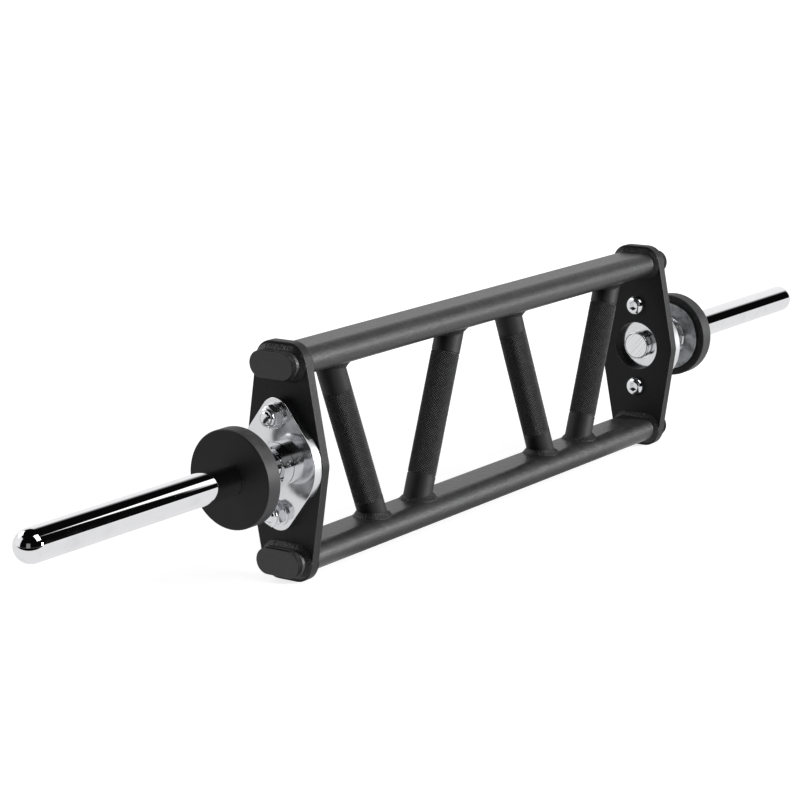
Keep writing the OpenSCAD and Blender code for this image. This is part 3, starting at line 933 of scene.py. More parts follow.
@dataclass
class Shell:
    """A mesh in the making: points, faces, a normal for each corner of each, and their finishes."""

    points: list[Vector] = field(default_factory=list)
    faces: list[tuple[int, ...]] = field(default_factory=list)
    normals: list[list[tuple[float, float, float]]] = field(default_factory=list)
    finishes: list[int] = field(default_factory=list)

    @classmethod
    def swept(
        cls,
        corners: list[Corner],
        spine: Spine,
        closed: bool = False,
        step: float = 15.0,
        lids: tuple[bool, bool] = (True, True),
    ) -> "Shell":
        """Sweeps a half section round a spine, with exact normals.

        Args:
            corners: The half section. An open one starts and ends at the middle, or is closed
                there by flat faces.
            spine: What it is swept round.
            closed: Whether the last corner joins the first.
            step: The largest turn of one facet of a rounding, in degrees.
            lids: Whether an open section's first and last ends get flat faces.

        Returns:
            The shell, at the right-hand end about the sleeves' axis.
        """
        rows, links = cls.section(corners, closed, math.radians(step))
        shell, count = cls(), len(spine.points)
        firsts = []
        for x, r in rows:
            firsts.append(len(shell.points))
            if r < ON_AXIS:
                shell.points.append(Vector((x, 0.0, AXIS_Z)))
                continue
            for (py, pz), (wy, wz) in zip(spine.points, spine.ways):
                shell.points.append(Vector((x, py + r * wy, AXIS_Z + pz + r * wz)))
        for a, b, normal_a, normal_b, finish in links:
            for i in range(count):
                j = (i + 1) % count
                ring = [(a, i, normal_a), (a, j, normal_a), (b, j, normal_b), (b, i, normal_b)]
                face = []
                for row, k, normal in ring:
                    pole = rows[row][1] < ON_AXIS
                    index = firsts[row] + (0 if pole else k)
                    if all(index != seen[0] for seen in face):
                        wy, wz = spine.ways[k]
                        face.append((index, (normal[0], normal[1] * wy, normal[1] * wz)))
                shell.faces.append(tuple(p[0] for p in face))
                shell.normals.append([p[1] for p in face])
                shell.finishes.append(finish)
        if not closed:
            for row, x_way, wanted in ((0, -1.0, lids[0]), (len(rows) - 1, 1.0, lids[1])):
                if wanted and rows[row][1] > ON_AXIS:
                    ring = [firsts[row] + i for i in range(count)]
                    shell.faces.append(tuple(ring))
                    shell.normals.append([(x_way, 0.0, 0.0)] * count)
                    shell.finishes.append(corners[0].finish if row == 0 else corners[-1].finish)
        return shell.turned_outwards()

    @staticmethod
    def ways_at(spots: np.ndarray, i: int, closed: bool) -> tuple[np.ndarray, np.ndarray]:
        """Finds how a half section comes to one of its corners and leaves it.

        Args:
            spots: The corners.
            i: The corner's number.
            closed: Whether the last corner joins the first.

        Returns:
            Both directions, which are the same at the ends of an open section.
        """

        def way(a: int, b: int) -> np.ndarray:
            """The direction from one corner to another."""
            run = spots[b] - spots[a]
            return run / np.linalg.norm(run)

        last = len(spots) - 1
        if not closed and i == 0:
            return way(0, 1), way(0, 1)
        if not closed and i == last:
            return way(last - 1, last), way(last - 1, last)
        return way(i - 1, i), way(i, (i + 1) % len(spots))

    @staticmethod
    def rounding(
        corner: Corner, way_in: np.ndarray, turn: float, step: float
    ) -> list[tuple[np.ndarray, np.ndarray]]:
        """Makes the facets of a rounded corner.

        Args:
            corner: The corner.
            way_in: The direction in which the section comes to it.
            turn: How far the section turns there, in radians.
            step: The largest turn of one facet, in radians.

        Returns:
            The places along the rounding, with the section's direction at each.
        """
        start = np.array((corner.x, corner.r)) - way_in * corner.fillet * math.tan(abs(turn) / 2)
        left = np.array([-way_in[1], way_in[0]])
        centre = start + left * corner.fillet * math.copysign(1.0, turn)
        facets = max(1, math.ceil(abs(turn) / step))
        made = []
        for k in range(facets + 1):
            a = turn * k / facets
            spin = np.array([[math.cos(a), -math.sin(a)], [math.sin(a), math.cos(a)]])
            made.append((centre + spin @ (start - centre), spin @ way_in))
        return made

    @classmethod
    def section(cls, corners: list[Corner], closed: bool, step: float) -> tuple[list, list]:
        """Rounds the corners of a half section and works out its normals.

        Args:
            corners: The half section.
            closed: Whether the last corner joins the first.
            step: The largest turn of one facet of a rounding, in radians.

        Returns:
            The (x, radius) rows, and the links between rows: both row numbers, both normals
            and the finish number.
        """
        spots = np.array([(c.x, c.r) for c in corners])
        after = np.roll(spots, -1, axis=0)
        area = float(np.sum(spots[:, 0] * after[:, 1] - after[:, 0] * spots[:, 1]))
        out = -1.0 if area > 0 else 1.0
        found: list[tuple] = []
        for i, corner in enumerate(corners):
            way_in, way_out = cls.ways_at(spots, i, closed)
            across = way_in[0] * way_out[1] - way_in[1] * way_out[0]
            turn = math.atan2(across, float(way_in @ way_out))
            if corner.fillet <= 0 or abs(turn) < STRAIGHT_ON:
                found.append((spots[i], way_in, way_out, corner.finish))
                continue
            for spot, way in cls.rounding(corner, way_in, turn, step):
                found.append((spot, way, way, corner.finish))
        kept = found[:1]
        for row in found[1:]:
            if math.dist(row[0], kept[-1][0]) > SAME_PLACE:
                kept.append(row)
        rows = [(x, r if r > SAME_PLACE else 0.0) for x, r in (row[0] for row in kept)]

        def normal(way: np.ndarray) -> tuple[float, float]:
            """The outward direction of a run of the section."""
            return (-out * way[1], out * way[0])

        links = []
        for a in range(len(rows) if closed else len(rows) - 1):
            b = (a + 1) % len(rows)
            links.append((a, b, normal(kept[a][2]), normal(kept[b][1]), kept[a][3]))
        return rows, links

    def turned_outwards(self) -> "Shell":
        """Winds each face so that it looks the way of its normals.

        Returns:
            The same shell.
        """
        for number, (face, normals) in enumerate(zip(self.faces, self.normals)):
            wanted = Vector((0.0, 0.0, 0.0))
            for normal in normals:
                wanted += Vector(normal)
            a, b, c = (self.points[i] for i in face[:3])
            flat = (b - a).cross(c - a)
            if len(face) > 3:
                flat = flat + (c - a).cross(self.points[face[3]] - a)
            if flat.dot(wanted) < 0:
                self.faces[number] = face[::-1]
                self.normals[number] = normals[::-1]
        return self

    def placed(self, side: Side, z: float = 0.0) -> "Shell":
        """Copies the shell to one end of the bar.

        Args:
            side: The end. The left-hand copy is a mirror image.
            z: How far the copy is raised.

        Returns:
            The copy.
        """
        # A mirror image also has the order of each face's corners turned round
        way = side.value
        points = [Vector((way * p.x, p.y, p.z + z)) for p in self.points]
        faces = [face[::way] for face in self.faces]
        normals = [[(way * n[0], n[1], n[2]) for n in part][::way] for part in self.normals]
        return Shell(points, faces, normals, list(self.finishes))

    def joined(self, other: "Shell") -> "Shell":
        """Adds another shell to this one.

        Args:
            other: The shell to add.

        Returns:
            A new shell that holds both.
        """
        shift = len(self.points)
        faces = [tuple(i + shift for i in face) for face in other.faces]
        return Shell(
            self.points + other.points,
            self.faces + faces,
            self.normals + other.normals,
            self.finishes + other.finishes,
        )

    def with_socket(self, x: float, rim: float, flats: float, deep: float) -> "Shell":
        """Adds a hexagon socket to the open end at x, which looks towards -X.

        Args:
            x: Where the end lies.
            rim: The radius of the opening that the end has.
            flats: The socket's size across its flats.
            deep: How deep it is.

        Returns:
            A new shell with the socket, which leaves its normals to the mesh.
        """
        steps = 48
        lead_in = 0.0004
        turns = [math.tau * i / steps for i in range(steps)]
        sixth = math.tau / 6
        hexagon = [flats / 2 / math.cos((a + sixth / 2) % sixth - sixth / 2) for a in turns]
        loops = [
            (x, [rim] * steps),
            (x, [r + lead_in for r in hexagon]),
            (x + lead_in, hexagon),
            (x + deep, hexagon),
        ]
        points = []
        for place, radii in loops:
            for a, r in zip(turns, radii):
                points.append(Vector((place, r * math.cos(a), AXIS_Z + r * math.sin(a))))
        points.append(Vector((x + deep, 0.0, AXIS_Z)))
        faces = []
        for loop in range(len(loops) - 1):
            for i in range(steps):
                j = (i + 1) % steps
                outer, inner = loop * steps, (loop + 1) * steps
                faces.append((inner + i, inner + j, outer + j, outer + i))
        last = (len(loops) - 1) * steps
        for i in range(steps):
            faces.append((len(points) - 1, last + (i + 1) % steps, last + i))
        normals = [[(0.0, 0.0, 0.0)] * len(face) for face in faces]
        return self.joined(Shell(points, faces, normals, [0] * len(faces)))

    def mesh(self, name: str, sharp: float = 35.0, exact: bool = True) -> bpy.types.Mesh:
        """Makes the shell a mesh.

        Args:
            name: The mesh's name.
            sharp: The angle past which an edge stays sharp, where the normals are not given.
            exact: Whether the mesh keeps the shell's own normals.

        Returns:
            The mesh.
        """
        mesh = bpy.data.meshes.new(name)
        mesh.from_pydata([tuple(p) for p in self.points], [], self.faces)
        mesh.polygons.foreach_set("material_index", self.finishes)
        mesh.shade_smooth()
        mesh.set_sharp_from_angle(angle=math.radians(sharp))
        if exact:
            mesh.normals_split_custom_set([n for normals in self.normals for n in normals])
        return mesh

    def piece(self, name: str, finishes: list[Finish]) -> bpy.types.Object:
        """Makes the shell a piece with these finishes, in the order of their numbers."""
        return new_object(name, self.mesh(name), finishes)


def linked(name: str, data: bpy.types.ID) -> bpy.types.Object:
    """Puts a mesh, a lamp or a camera into the scene.

    Args:
        name: The object's name.
        data: What the object shows.

    Returns:
        The object, at the origin.
    """
    made = bpy.data.objects.new(name, data)
    bpy.context.scene.collection.objects.link(made)
    return made


def face_outwards(mesh: bpy.types.Mesh) -> None:
    """Turns all faces of a closed mesh outwards.

    Args:
        mesh: The mesh.
    """
    work = bmesh.new()
    work.from_mesh(mesh)
    bmesh.ops.recalc_face_normals(work, faces=work.faces)
    work.to_mesh(mesh)
    work.free()


def new_object(name: str, mesh: bpy.types.Mesh, finishes: list[Finish]) -> bpy.types.Object:
    """Puts a piece into the scene and gives it its finishes.

    Args:
        name: The piece's name.
        mesh: Its mesh.
        finishes: Its finishes, in the order of their numbers.

    Returns:
        The object, at the origin.
    """
    # Clearing the materials also clears the faces' numbers, so these are put back
    numbers = [face.material_index for face in mesh.polygons]
    mesh.materials.clear()
    for finish in finishes:
        mesh.materials.append(finish.material())
    if len(finishes) > 1:
        mesh.polygons.foreach_set("material_index", numbers)
    return linked(name, mesh)


def joined_piece(
    name: str,
    meshes: list[bpy.types.Mesh],
    finishes: list[Finish],
    numbers: list[int] | None = None,
) -> bpy.types.Object:
    """Joins plain meshes into one piece.

    Args:
        name: The piece's name.
        meshes: The meshes, which are used up.
        finishes: The piece's finishes.
        numbers: The number of each mesh's finish, where they differ.

    Returns:
        The piece.
    """
    work = bmesh.new()
    for mesh, number in zip(meshes, numbers or [0] * len(meshes)):
        mesh.polygons.foreach_set("material_index", [number] * len(mesh.polygons))
        work.from_mesh(mesh)
    mesh = bpy.data.meshes.new(name)
    work.to_mesh(mesh)
    work.free()
    for used in meshes:
        bpy.data.meshes.remove(used)
    return new_object(name, mesh, finishes)


def settle(piece: bpy.types.Object, body: str, slot: str, *nodes: str) -> None:
    """Attaches a finished piece to what it rides on, and hides the nodes that it stands for.

    Args:
        piece: The finished piece.
        body: The body that carries it.
        slot: The record's material slot; not used.
        nodes: The CAD nodes that it replaces.
    """
    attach(piece, body)
    if nodes:
        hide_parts(*nodes)
    log.info("%s: %d faces on %s", piece.name, len(piece.data.polygons), body)


def dress(node: bpy.types.Object, finish: Finish) -> None:
    """Gives a CAD node its finish.

    Args:
        node: The node's object.
        finish: The finish for all its slots.
    """
    for holder in node.material_slots:
        holder.material = finish.material()
    log.info("%s: %s", node.name, finish.name)


def applied(source: bpy.types.Object, name: str) -> bpy.types.Mesh:
    """Turns an object and its modifiers into a plain mesh, and removes the object.

    Args:
        source: The object.
        name: The new mesh's name.

    Returns:
        The plain mesh.
    """
    bpy.context.view_layer.update()
    graph = bpy.context.evaluated_depsgraph_get()
    mesh = bpy.data.meshes.new_from_object(source.evaluated_get(graph))
    mesh.name = name
    bpy.data.objects.remove(source)
    return mesh


def softened(
    node: bpy.types.Object,
    name: str,
    finishes: list[Finish],
    width: float,
    spared: float = 0.0,
) -> bpy.types.Object:
    """Copies a CAD node and rounds its edges.

    Args:
        node: The CAD node's object.
        name: The piece's name.
        finishes: Its finish, and a second one for its sides if they have their own.
        width: How wide the rounding is.
        spared: Edges nearer to the sleeves' axis than this stay as they are.

    Returns:
        The piece.
    """
    work = bmesh.new()
    work.from_mesh(node.data)
    bmesh.ops.remove_doubles(work, verts=work.verts, dist=NODE_GAP)
    bmesh.ops.dissolve_limit(work, angle_limit=FLAT_TURN, verts=work.verts, edges=work.edges)
    weights = work.edges.layers.float.new("bevel_weight_edge")
    for edge in work.edges:
        middle = (edge.verts[0].co + edge.verts[1].co) / 2
        reach = math.hypot(middle.y, middle.z - AXIS_Z)
        bent = len(edge.link_faces) == 2 and edge.calc_face_angle() > SHARP_TURN
        edge[weights] = 1.0 if bent and reach >= spared else 0.0
    for face in work.faces:
        side = abs(face.normal.x) < 0.5
        face.material_index = 1 if side and len(finishes) > 1 else 0
    mesh = bpy.data.meshes.new(name)
    work.to_mesh(mesh)
    work.free()
    mesh.shade_smooth()
    mesh.set_sharp_from_angle(angle=SHARP_TURN)
    source = linked(f"{name}_source", mesh)
    rounding = source.modifiers.new("rounding", "BEVEL")
    rounding.width = width
    rounding.segments = 3
    rounding.limit_method = "WEIGHT"
    rounding.harden_normals = True
    return new_object(name, applied(source, name), finishes)


def grown(
    tree: bpy.types.NodeTree, name: str, inputs: dict, mesh: bpy.types.Mesh | None = None
) -> bpy.types.Mesh:
    """Runs a Geometry Nodes tree and returns what it makes.

    Args:
        tree: The tree.
        name: The new mesh's name.
        inputs: Values for the tree's named inputs.
        mesh: What goes into the tree, if it takes a mesh.

    Returns:
        The plain mesh.
    """
    source = linked(f"{name}_source", mesh or bpy.data.meshes.new(name))
    modifier = source.modifiers.new(tree.name, "NODES")
    modifier.node_group = tree
    for item in tree.interface.items_tree:
        if item.item_type == "SOCKET" and item.in_out == "INPUT" and item.name in inputs:
            modifier[item.identifier] = inputs[item.name]
    return applied(source, name)


@dataclass(frozen=True)
class Panel:
    """A bright surface of the studio, as bearings and heights in degrees seen from the bar."""

    left: float
    right: float
    low: float
    high: float
    soft: float
    level: float
    slant: float = 0.0

    def within(self, t: Tree, value: Socket, low: float, high: float) -> Socket:
        """Builds a range with the panel's soft ends.

        Args:
            t: The world's tree.
            value: What is measured.
            low: Where the range starts.
            high: Where it ends.

        Returns:
            1 inside the range and 0 outside.
        """
        return t.math(
            "MULTIPLY",
            t.between(value, low - self.soft, low + self.soft),
            t.between(value, high + self.soft, high - self.soft),
        )

    def share(self, t: Tree, bearing: Socket, rise: Socket) -> Socket:
        """Builds how much of this panel a direction meets.

        Args:
            t: The world's tree.
            bearing: The direction's bearing from +X, in degrees.
            rise: The direction's height above the horizon, in degrees.

        Returns:
            The panel's level where the direction meets it, and 0 elsewhere.
        """
        above = t.minus(rise, (self.low + self.high) / 2)
        turned = t.minus(bearing, t.times(above, self.slant))
        sides = self.within(t, turned, self.left, self.right)
        ends = self.within(t, rise, self.low, self.high)
        return t.times(sides, ends, self.level)


@dataclass(frozen=True)
class Lamp:
    """A soft lamp: where it hangs, how large it is, and its power in watts."""

    name: str
    place: tuple[float, float, float]
    width: float
    height: float
    power: float

    def hang(self) -> None:
        """Hangs the lamp and turns it to the bar."""
        lamp = bpy.data.lights.new(self.name, "AREA")
        lamp.shape = "RECTANGLE"
        lamp.size = self.width
        lamp.size_y = self.height
        lamp.energy = self.power
        made = linked(self.name, lamp)
        made.location = self.place
        aim = Vector((0.0, 0.0, AXIS_Z)) - made.location
        made.rotation_euler = aim.to_track_quat("-Z", "Y").to_euler()


class Studio:
    """The floor, the light, the surroundings that the chrome shows, and the camera."""

    camera_place = (-1.92938, -1.34885, 0.64273)
    camera_yaw = math.radians(36.9112)
    camera_pitch = math.radians(-12.7606)
    camera_roll = math.radians(-1.2438)
    camera_lens = 108.385
    camera_sensor = 36.0
    camera_sees = (0.05, 200.0)
    floor_reach = 60.0
    floor_drop = 0.0002
    # The paper's share of light that it sends back: into the room, and to the camera
    paper_albedo = 0.11
    seen_albedo = 0.6
    # How far towards the camera the white paper reaches, before it shows dark in the chrome
    paper_end = -0.90
    paper_fade = 0.06
    # How white the paper glows to the camera near the bar and far from it, and in reflections
    glow_near = 0.81
    glow_far = 0.95
    glow_range = (0.4, 1.4)
    glow_mirrored = 0.82
    # Painted shadow: the share of that white which reflections show of the paper right under the
    # bar, and where that darker patch ends along the bar and across it
    painted_shadow_share = 0.35
    under_x = (0.20, 0.27)
    under_y = (0.02, 0.07)
    # The even light, and what reflections show between the panels and below the horizon
    ambient = 0.12
    dark_studio = 0.003
    backdrop = 0.86
    horizon = (1.0, -1.0)
    key_strip = Panel(-35.0, -26.0, 20.0, 39.0, 0.8, 1.6, 0.5)
    back_wall = Panel(-10.0, 86.0, -5.0, 36.0, 6.0, 1.0)
    left_wall = Panel(86.0, 152.0, -5.0, 46.0, 3.0, 0.95)
    camera_wall = Panel(-164.0, -139.0, -9.0, 28.0, 0.8, 0.26)
    panels = (key_strip, back_wall, left_wall, camera_wall)
    lamps = (
        Lamp("key", (0.07, -1.29, 1.80), 1.25, 1.40, 14.0),
        Lamp("low_front", (5.90, -10.20, 2.20), 2.2, 2.2, 1800.0),
        Lamp("fill", (-0.70, 1.70, 1.50), 1.2, 0.9, 10.0),
    )

    def build(self) -> None:
        """Builds the whole studio."""
        self.camera()
        self.floor()
        for lamp in self.lamps:
            lamp.hang()
        self.surroundings()
        bpy.context.scene.view_settings.view_transform = "Standard"
        log.info("studio ready")

    def camera(self) -> None:
        """Places the camera as the photograph's was."""
        yaw, pitch, roll = self.camera_yaw, self.camera_pitch, self.camera_roll
        ahead = Vector(
            (math.cos(pitch) * math.cos(yaw), math.cos(pitch) * math.sin(yaw), math.sin(pitch))
        )
        level = Vector((math.sin(yaw), -math.cos(yaw), 0.0))
        upright = level.cross(ahead)
        right = level * math.cos(roll) + upright * math.sin(roll)
        up = upright * math.cos(roll) - level * math.sin(roll)
        lens = bpy.data.cameras.new("camera")
        lens.lens = self.camera_lens
        lens.sensor_width = self.camera_sensor
        lens.clip_start, lens.clip_end = self.camera_sees
        camera = linked("camera", lens)
        turn = Matrix((right, up, -ahead)).transposed()
        camera.matrix_world = Matrix.Translation(self.camera_place) @ turn.to_4x4()
        bpy.context.scene.camera = camera

    def floor(self) -> None:
        """Lays the floor, a hair below the bar."""
        reach = self.floor_reach
        corners = [(-reach, -reach, 0), (reach, -reach, 0), (reach, reach, 0), (-reach, reach, 0)]
        mesh = bpy.data.meshes.new("floor")
        mesh.from_pydata(corners, [], [(0, 1, 2, 3)])
        mesh.materials.append(self.paper())
        floor = linked("floor", mesh)
        floor.location.z = -self.floor_drop

    def paper(self) -> bpy.types.Material:
        """Builds the floor's plain pale paper, which shows white and keeps the bar's shadow.

        Returns:
            The material.
        """
        paper = bpy.data.materials.new("floor_paper")
        t = Tree.of(paper)
        path = t.node("ShaderNodeLightPath")
        seen, mirrored = path.outputs["Is Camera Ray"], t.mirrored(path)
        where = t.place()
        parts = t.split(where)
        east = t.times(parts["X"], math.cos(self.camera_yaw))
        north = t.times(parts["Y"], math.sin(self.camera_yaw))
        white = t.between(
            t.plus(east, north),
            self.paper_end - self.paper_fade,
            self.paper_end + self.paper_fade,
        )
        away = t.node("ShaderNodeVectorMath", {0: where}, operation="LENGTH").outputs["Value"]
        far = t.between(away, *self.glow_range)
        # Painted shadow: reflections show the paper darker right under the bar
        beside = t.math(
            "MAXIMUM",
            t.between(t.math("ABSOLUTE", parts["X"]), *self.under_x),
            t.between(t.math("ABSOLUTE", parts["Y"]), *self.under_y),
        )
        shaded = t.times(t.blend(beside, self.painted_shadow_share, 1.0), self.glow_mirrored)
        glow = t.math(
            "ADD",
            t.times(seen, t.blend(far, self.glow_near, self.glow_far)),
            t.times(mirrored, t.times(white, shaded)),
        )
        dark = t.times(mirrored, t.rest(white))
        albedo = t.blend(seen, self.paper_albedo, self.seen_albedo)
        lit = t.times(albedo, t.rest(dark))
        colour = t.node("ShaderNodeCombineColor", {"Red": lit, "Green": lit, "Blue": lit})
        diffuse = t.node("ShaderNodeBsdfDiffuse", {"Color": colour.outputs[0]})
        shine = t.node("ShaderNodeEmission", {"Color": WHITE, "Strength": glow})
        both = t.node("ShaderNodeAddShader", {0: diffuse.outputs[0], 1: shine.outputs[0]})
        t.node("ShaderNodeOutputMaterial", {"Surface": both.outputs[0]})
        return paper

    def surroundings(self) -> None:
        """Builds the world: white to the camera, even light, and a studio in reflections."""
        world = bpy.data.worlds.new("studio")
        bpy.context.scene.world = world
        t = Tree.of(world)
        path = t.node("ShaderNodeLightPath")
        seen, mirrored = path.outputs["Is Camera Ray"], t.mirrored(path)
        parts = t.split(t.node("ShaderNodeTexCoord").outputs["Generated"])
        rise = t.math("DEGREES", t.math("ARCSINE", parts["Z"]))
        bearing = t.math("DEGREES", t.math("ARCTAN2", parts["Y"], parts["X"]))
        below = t.times(t.between(rise, *self.horizon), self.backdrop)
        mirror = t.plus(self.dark_studio, below)
        for panel in self.panels:
            mirror = t.math("MAXIMUM", mirror, panel.share(t, bearing, rise))
        even = t.times(t.rest(mirrored), self.ambient)
        level = t.plus(t.times(mirrored, mirror), even)
        level = t.plus(t.times(t.rest(seen), level), seen)
        shade = t.node("ShaderNodeBackground", {"Color": WHITE, "Strength": level})
        t.node("ShaderNodeOutputWorld", {"Surface": shade.outputs[0]})


# How many steps the half circles of the rails and their caps have
OVAL_STEPS = 24


@dataclass
class Weldments:
    """The end plates and the rails."""

    plate_edge: float = 0.0006
    rail_edge: float = 0.0003
    wall: float = 0.0025

    def build(self, nodes: dict[str, bpy.types.Object]) -> None:
        """Builds both plates and both rails.

        Args:
            nodes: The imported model's nodes.
        """
        for side in Side:
            node = f"{side.word}_end_plate"
            finishes = [Finishes.plate, Finishes.plate_edge]
            piece = softened(nodes[node], f"{side.word}_plate", finishes, self.plate_edge)
            settle(piece, FRAME, Finishes.plate.slot, node)
        for level in Level:
            self.rail(level)

    def rail(self, level: Level) -> None:
        """Builds one rail as a flat-oval tube.

        Args:
            level: Which rail.
        """
        outer, inner = RAIL_H / 2, RAIL_H / 2 - self.wall
        corners = [
            Corner(-RAIL_END_X, inner),
            Corner(-RAIL_END_X, outer, self.rail_edge),
            Corner(RAIL_END_X, outer, self.rail_edge),
            Corner(RAIL_END_X, inner),
        ]
        shell = Shell.swept(corners, Spine.flat_oval(OVAL_STEPS), closed=True)
        shell = shell.placed(Side.RIGHT, level.value * RAIL_Z)
        piece = shell.piece(f"{level.word}_flat_oval_rail", [Finishes.rail])
        settle(piece, FRAME, Finishes.rail.slot, f"{level.word}_rail")


@dataclass
class EndCaps:
    """The moulded caps in the rails' ends."""

    head: float = 0.006
    edge: float = 0.0007
    groove: float = 0.0006
    groove_edge: float = 0.0003
    face_rim: float = 0.004
    plug_inset: float = 0.0027
    plug_deep: float = 0.012

    def build(self, nodes: dict[str, bpy.types.Object]) -> None:
        """Builds the four caps.

        Args:
            nodes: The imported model's nodes.
        """
        outer = RAIL_H / 2
        plug = outer - self.plug_inset
        corners = [
            Corner(RAIL_END_X - self.plug_deep, plug),
            Corner(RAIL_END_X, plug),
            Corner(RAIL_END_X, outer - self.groove),
            Corner(RAIL_END_X + self.groove, outer - self.groove),
            Corner(RAIL_END_X + self.groove, outer, self.groove_edge),
            Corner(RAIL_END_X + self.head, outer, self.edge),
            Corner(RAIL_END_X + self.head, outer - self.face_rim),
        ]
        shell = Shell.swept(corners, Spine.flat_oval(OVAL_STEPS))
        for side in Side:
            for level in Level:
                node = f"{level.word}_{side.word}_cap"
                placed = shell.placed(side, level.value * RAIL_Z)
                piece = placed.piece(f"{node}_head", [Finishes.cap])
                settle(piece, FRAME, Finishes.cap.slot, node)


# Points of a wrapped grid that are nearer than this are one, as along its seam
SEAM_GAP = 0.00002

# The first and last rows of a knurl lie further than this share of its length from its middle
KNURL_INSIDE = 0.4999

# How many lumps a weld bead has in a metre
LUMP_SCALE = 420.0


def coated(t: Tree, geometry: Socket, coat: Socket) -> bpy.types.NodeTree:
    """Ends a Geometry Nodes tree with plain geometry in one material.

    Args:
        t: The tree.
        geometry: What it makes.
        coat: The material.

    Returns:
        The finished tree.
    """
    real = t.node("GeometryNodeRealizeInstances", {"Geometry": geometry})
    made = t.node("GeometryNodeSetMaterial", {"Geometry": real.outputs[0], "Material": coat})
    t.node("NodeGroupOutput", {"Geometry": made.outputs[0]})
    return t.tree


@dataclass
class WrappedGrid:
    """A grid that a Geometry Nodes tree wraps into a tube, and what its points are numbered."""

    t: Tree
    given: bpy.types.NodeOutputs
    grid: Socket
    column: Socket
    row: Socket

    @classmethod
    def begun(cls, name: str, extra: dict[str, str]) -> "WrappedGrid":
        """Starts a tree with the inputs that every wrapped grid has.

        Args:
            name: The tree's name.
            extra: Its further inputs.

        Returns:
            The grid, not wrapped yet.
        """
        sizes = {"Columns": INTEGER, "Rows": INTEGER, "Length": FLOAT, "Root Radius": FLOAT,
                 "Depth": FLOAT, "Place": VECTOR, "Turn": VECTOR, "Coat": MATERIAL}
        tree = new_group(name, "GeometryNodeTree", {**sizes, **extra}, {"Geometry": GEOMETRY})
        t = Tree(tree)
        given = t.node("NodeGroupInput").outputs
        columns = t.plus(given["Columns"], 1.0)
        rows = t.plus(given["Rows"], 1.0)
        grid = t.node("GeometryNodeMeshGrid", {"Vertices X": columns, "Vertices Y": rows})
        index = t.node("GeometryNodeInputIndex").outputs[0]
        column = t.math("FLOOR", t.math("DIVIDE", t.plus(index, 0.5), rows))
        row = t.minus(index, t.times(column, rows))
        return cls(t, given, grid.outputs["Mesh"], column, row)

    @property
    def around(self) -> Socket:
        """How far round the tube a point lies, from 0 to 1."""
        return self.t.math("DIVIDE", self.column, self.given["Columns"])

    @property
    def along(self) -> Socket:
        """How far along the tube a point lies, from 0 to 1."""
        return self.t.math("DIVIDE", self.row, self.given["Rows"])

    def wrapped(self, radius: Socket, smooth: bool) -> bpy.types.NodeTree:
        """Wraps the grid round Z, moves it into place and ends the tree.

        Args:
            radius: Each point's radius.
            smooth: Whether the surface is shaded smooth.

        Returns:
            The tree.
        """
        t, given = self.t, self.given
        turn = t.times(self.around, math.tau)
        spot = t.node("ShaderNodeCombineXYZ", {
            "X": t.times(radius, t.math("COSINE", turn)),
            "Y": t.times(radius, t.math("SINE", turn)),
            "Z": t.times(t.minus(self.along, 0.5), given["Length"]),
        })
        moved = t.node(
            "GeometryNodeSetPosition", {"Geometry": self.grid, "Position": spot.outputs[0]}
        )
        merged = t.node(
            "GeometryNodeMergeByDistance", {"Geometry": moved.outputs[0], "Distance": SEAM_GAP}
        )
        cut = t.node("GeometryNodeTriangulate", {"Mesh": merged.outputs[0]},
                     quad_method="SHORTEST_DIAGONAL")
        shaded = t.node(
            "GeometryNodeSetShadeSmooth", {"Geometry": cut.outputs[0], "Shade Smooth": smooth}
        )
        placed = t.node("GeometryNodeTransform", {
            "Geometry": shaded.outputs[0],
            "Translation": given["Place"],
            "Rotation": given["Turn"],
        })
        return coated(t, placed.outputs[0], given["Coat"])


def knurl_tree() -> bpy.types.NodeTree:
    """Builds the tree that wraps a diamond knurl round a grip.

    Returns:
        The tree, with its sizes as named inputs.
    """
    tube = WrappedGrid.begun("knurl", {})
    t, given = tube.t, tube.given
    raised = t.math("FLOORED_MODULO", t.plus(tube.column, tube.row), 2.0)
    off_middle = t.math("ABSOLUTE", t.minus(tube.along, 0.5))
    inside = t.math("LESS_THAN", off_middle, KNURL_INSIDE)
    crest = t.times(raised, inside, given["Depth"])
    sunk = t.times(t.rest(inside), given["Depth"])
    radius = t.minus(t.plus(given["Root Radius"], crest), sunk)
    marked = t.node("GeometryNodeStoreNamedAttribute", {
        "Geometry": tube.grid, "Name": "crest", "Value": raised}, data_type="FLOAT")
    tube.grid = marked.outputs[0]
    return tube.wrapped(radius, False)


def thread_tree() -> bpy.types.NodeTree:
    """Builds the tree that cuts a screw thread on a tube, with a chamfer at its far end.

    Returns:
        The tree, with its sizes as named inputs.
    """
    tube = WrappedGrid.begun("screw_thread", {"Pitch": FLOAT, "Chamfer": FLOAT})
    t, given = tube.t, tube.given
    run = t.times(tube.along, given["Length"])
    phase = t.minus(t.math("DIVIDE", run, given["Pitch"]), tube.around)
    wave = t.math("PINGPONG", phase, 0.5)
    crest = t.times(wave, 2.0, given["Depth"])
    radius = t.plus(given["Root Radius"], crest)
    left = t.minus(given["Length"], run)
    outer = t.plus(given["Root Radius"], given["Depth"])
    tip = t.plus(t.minus(outer, given["Chamfer"]), left)
    return tube.wrapped(t.math("MINIMUM", radius, tip), True)


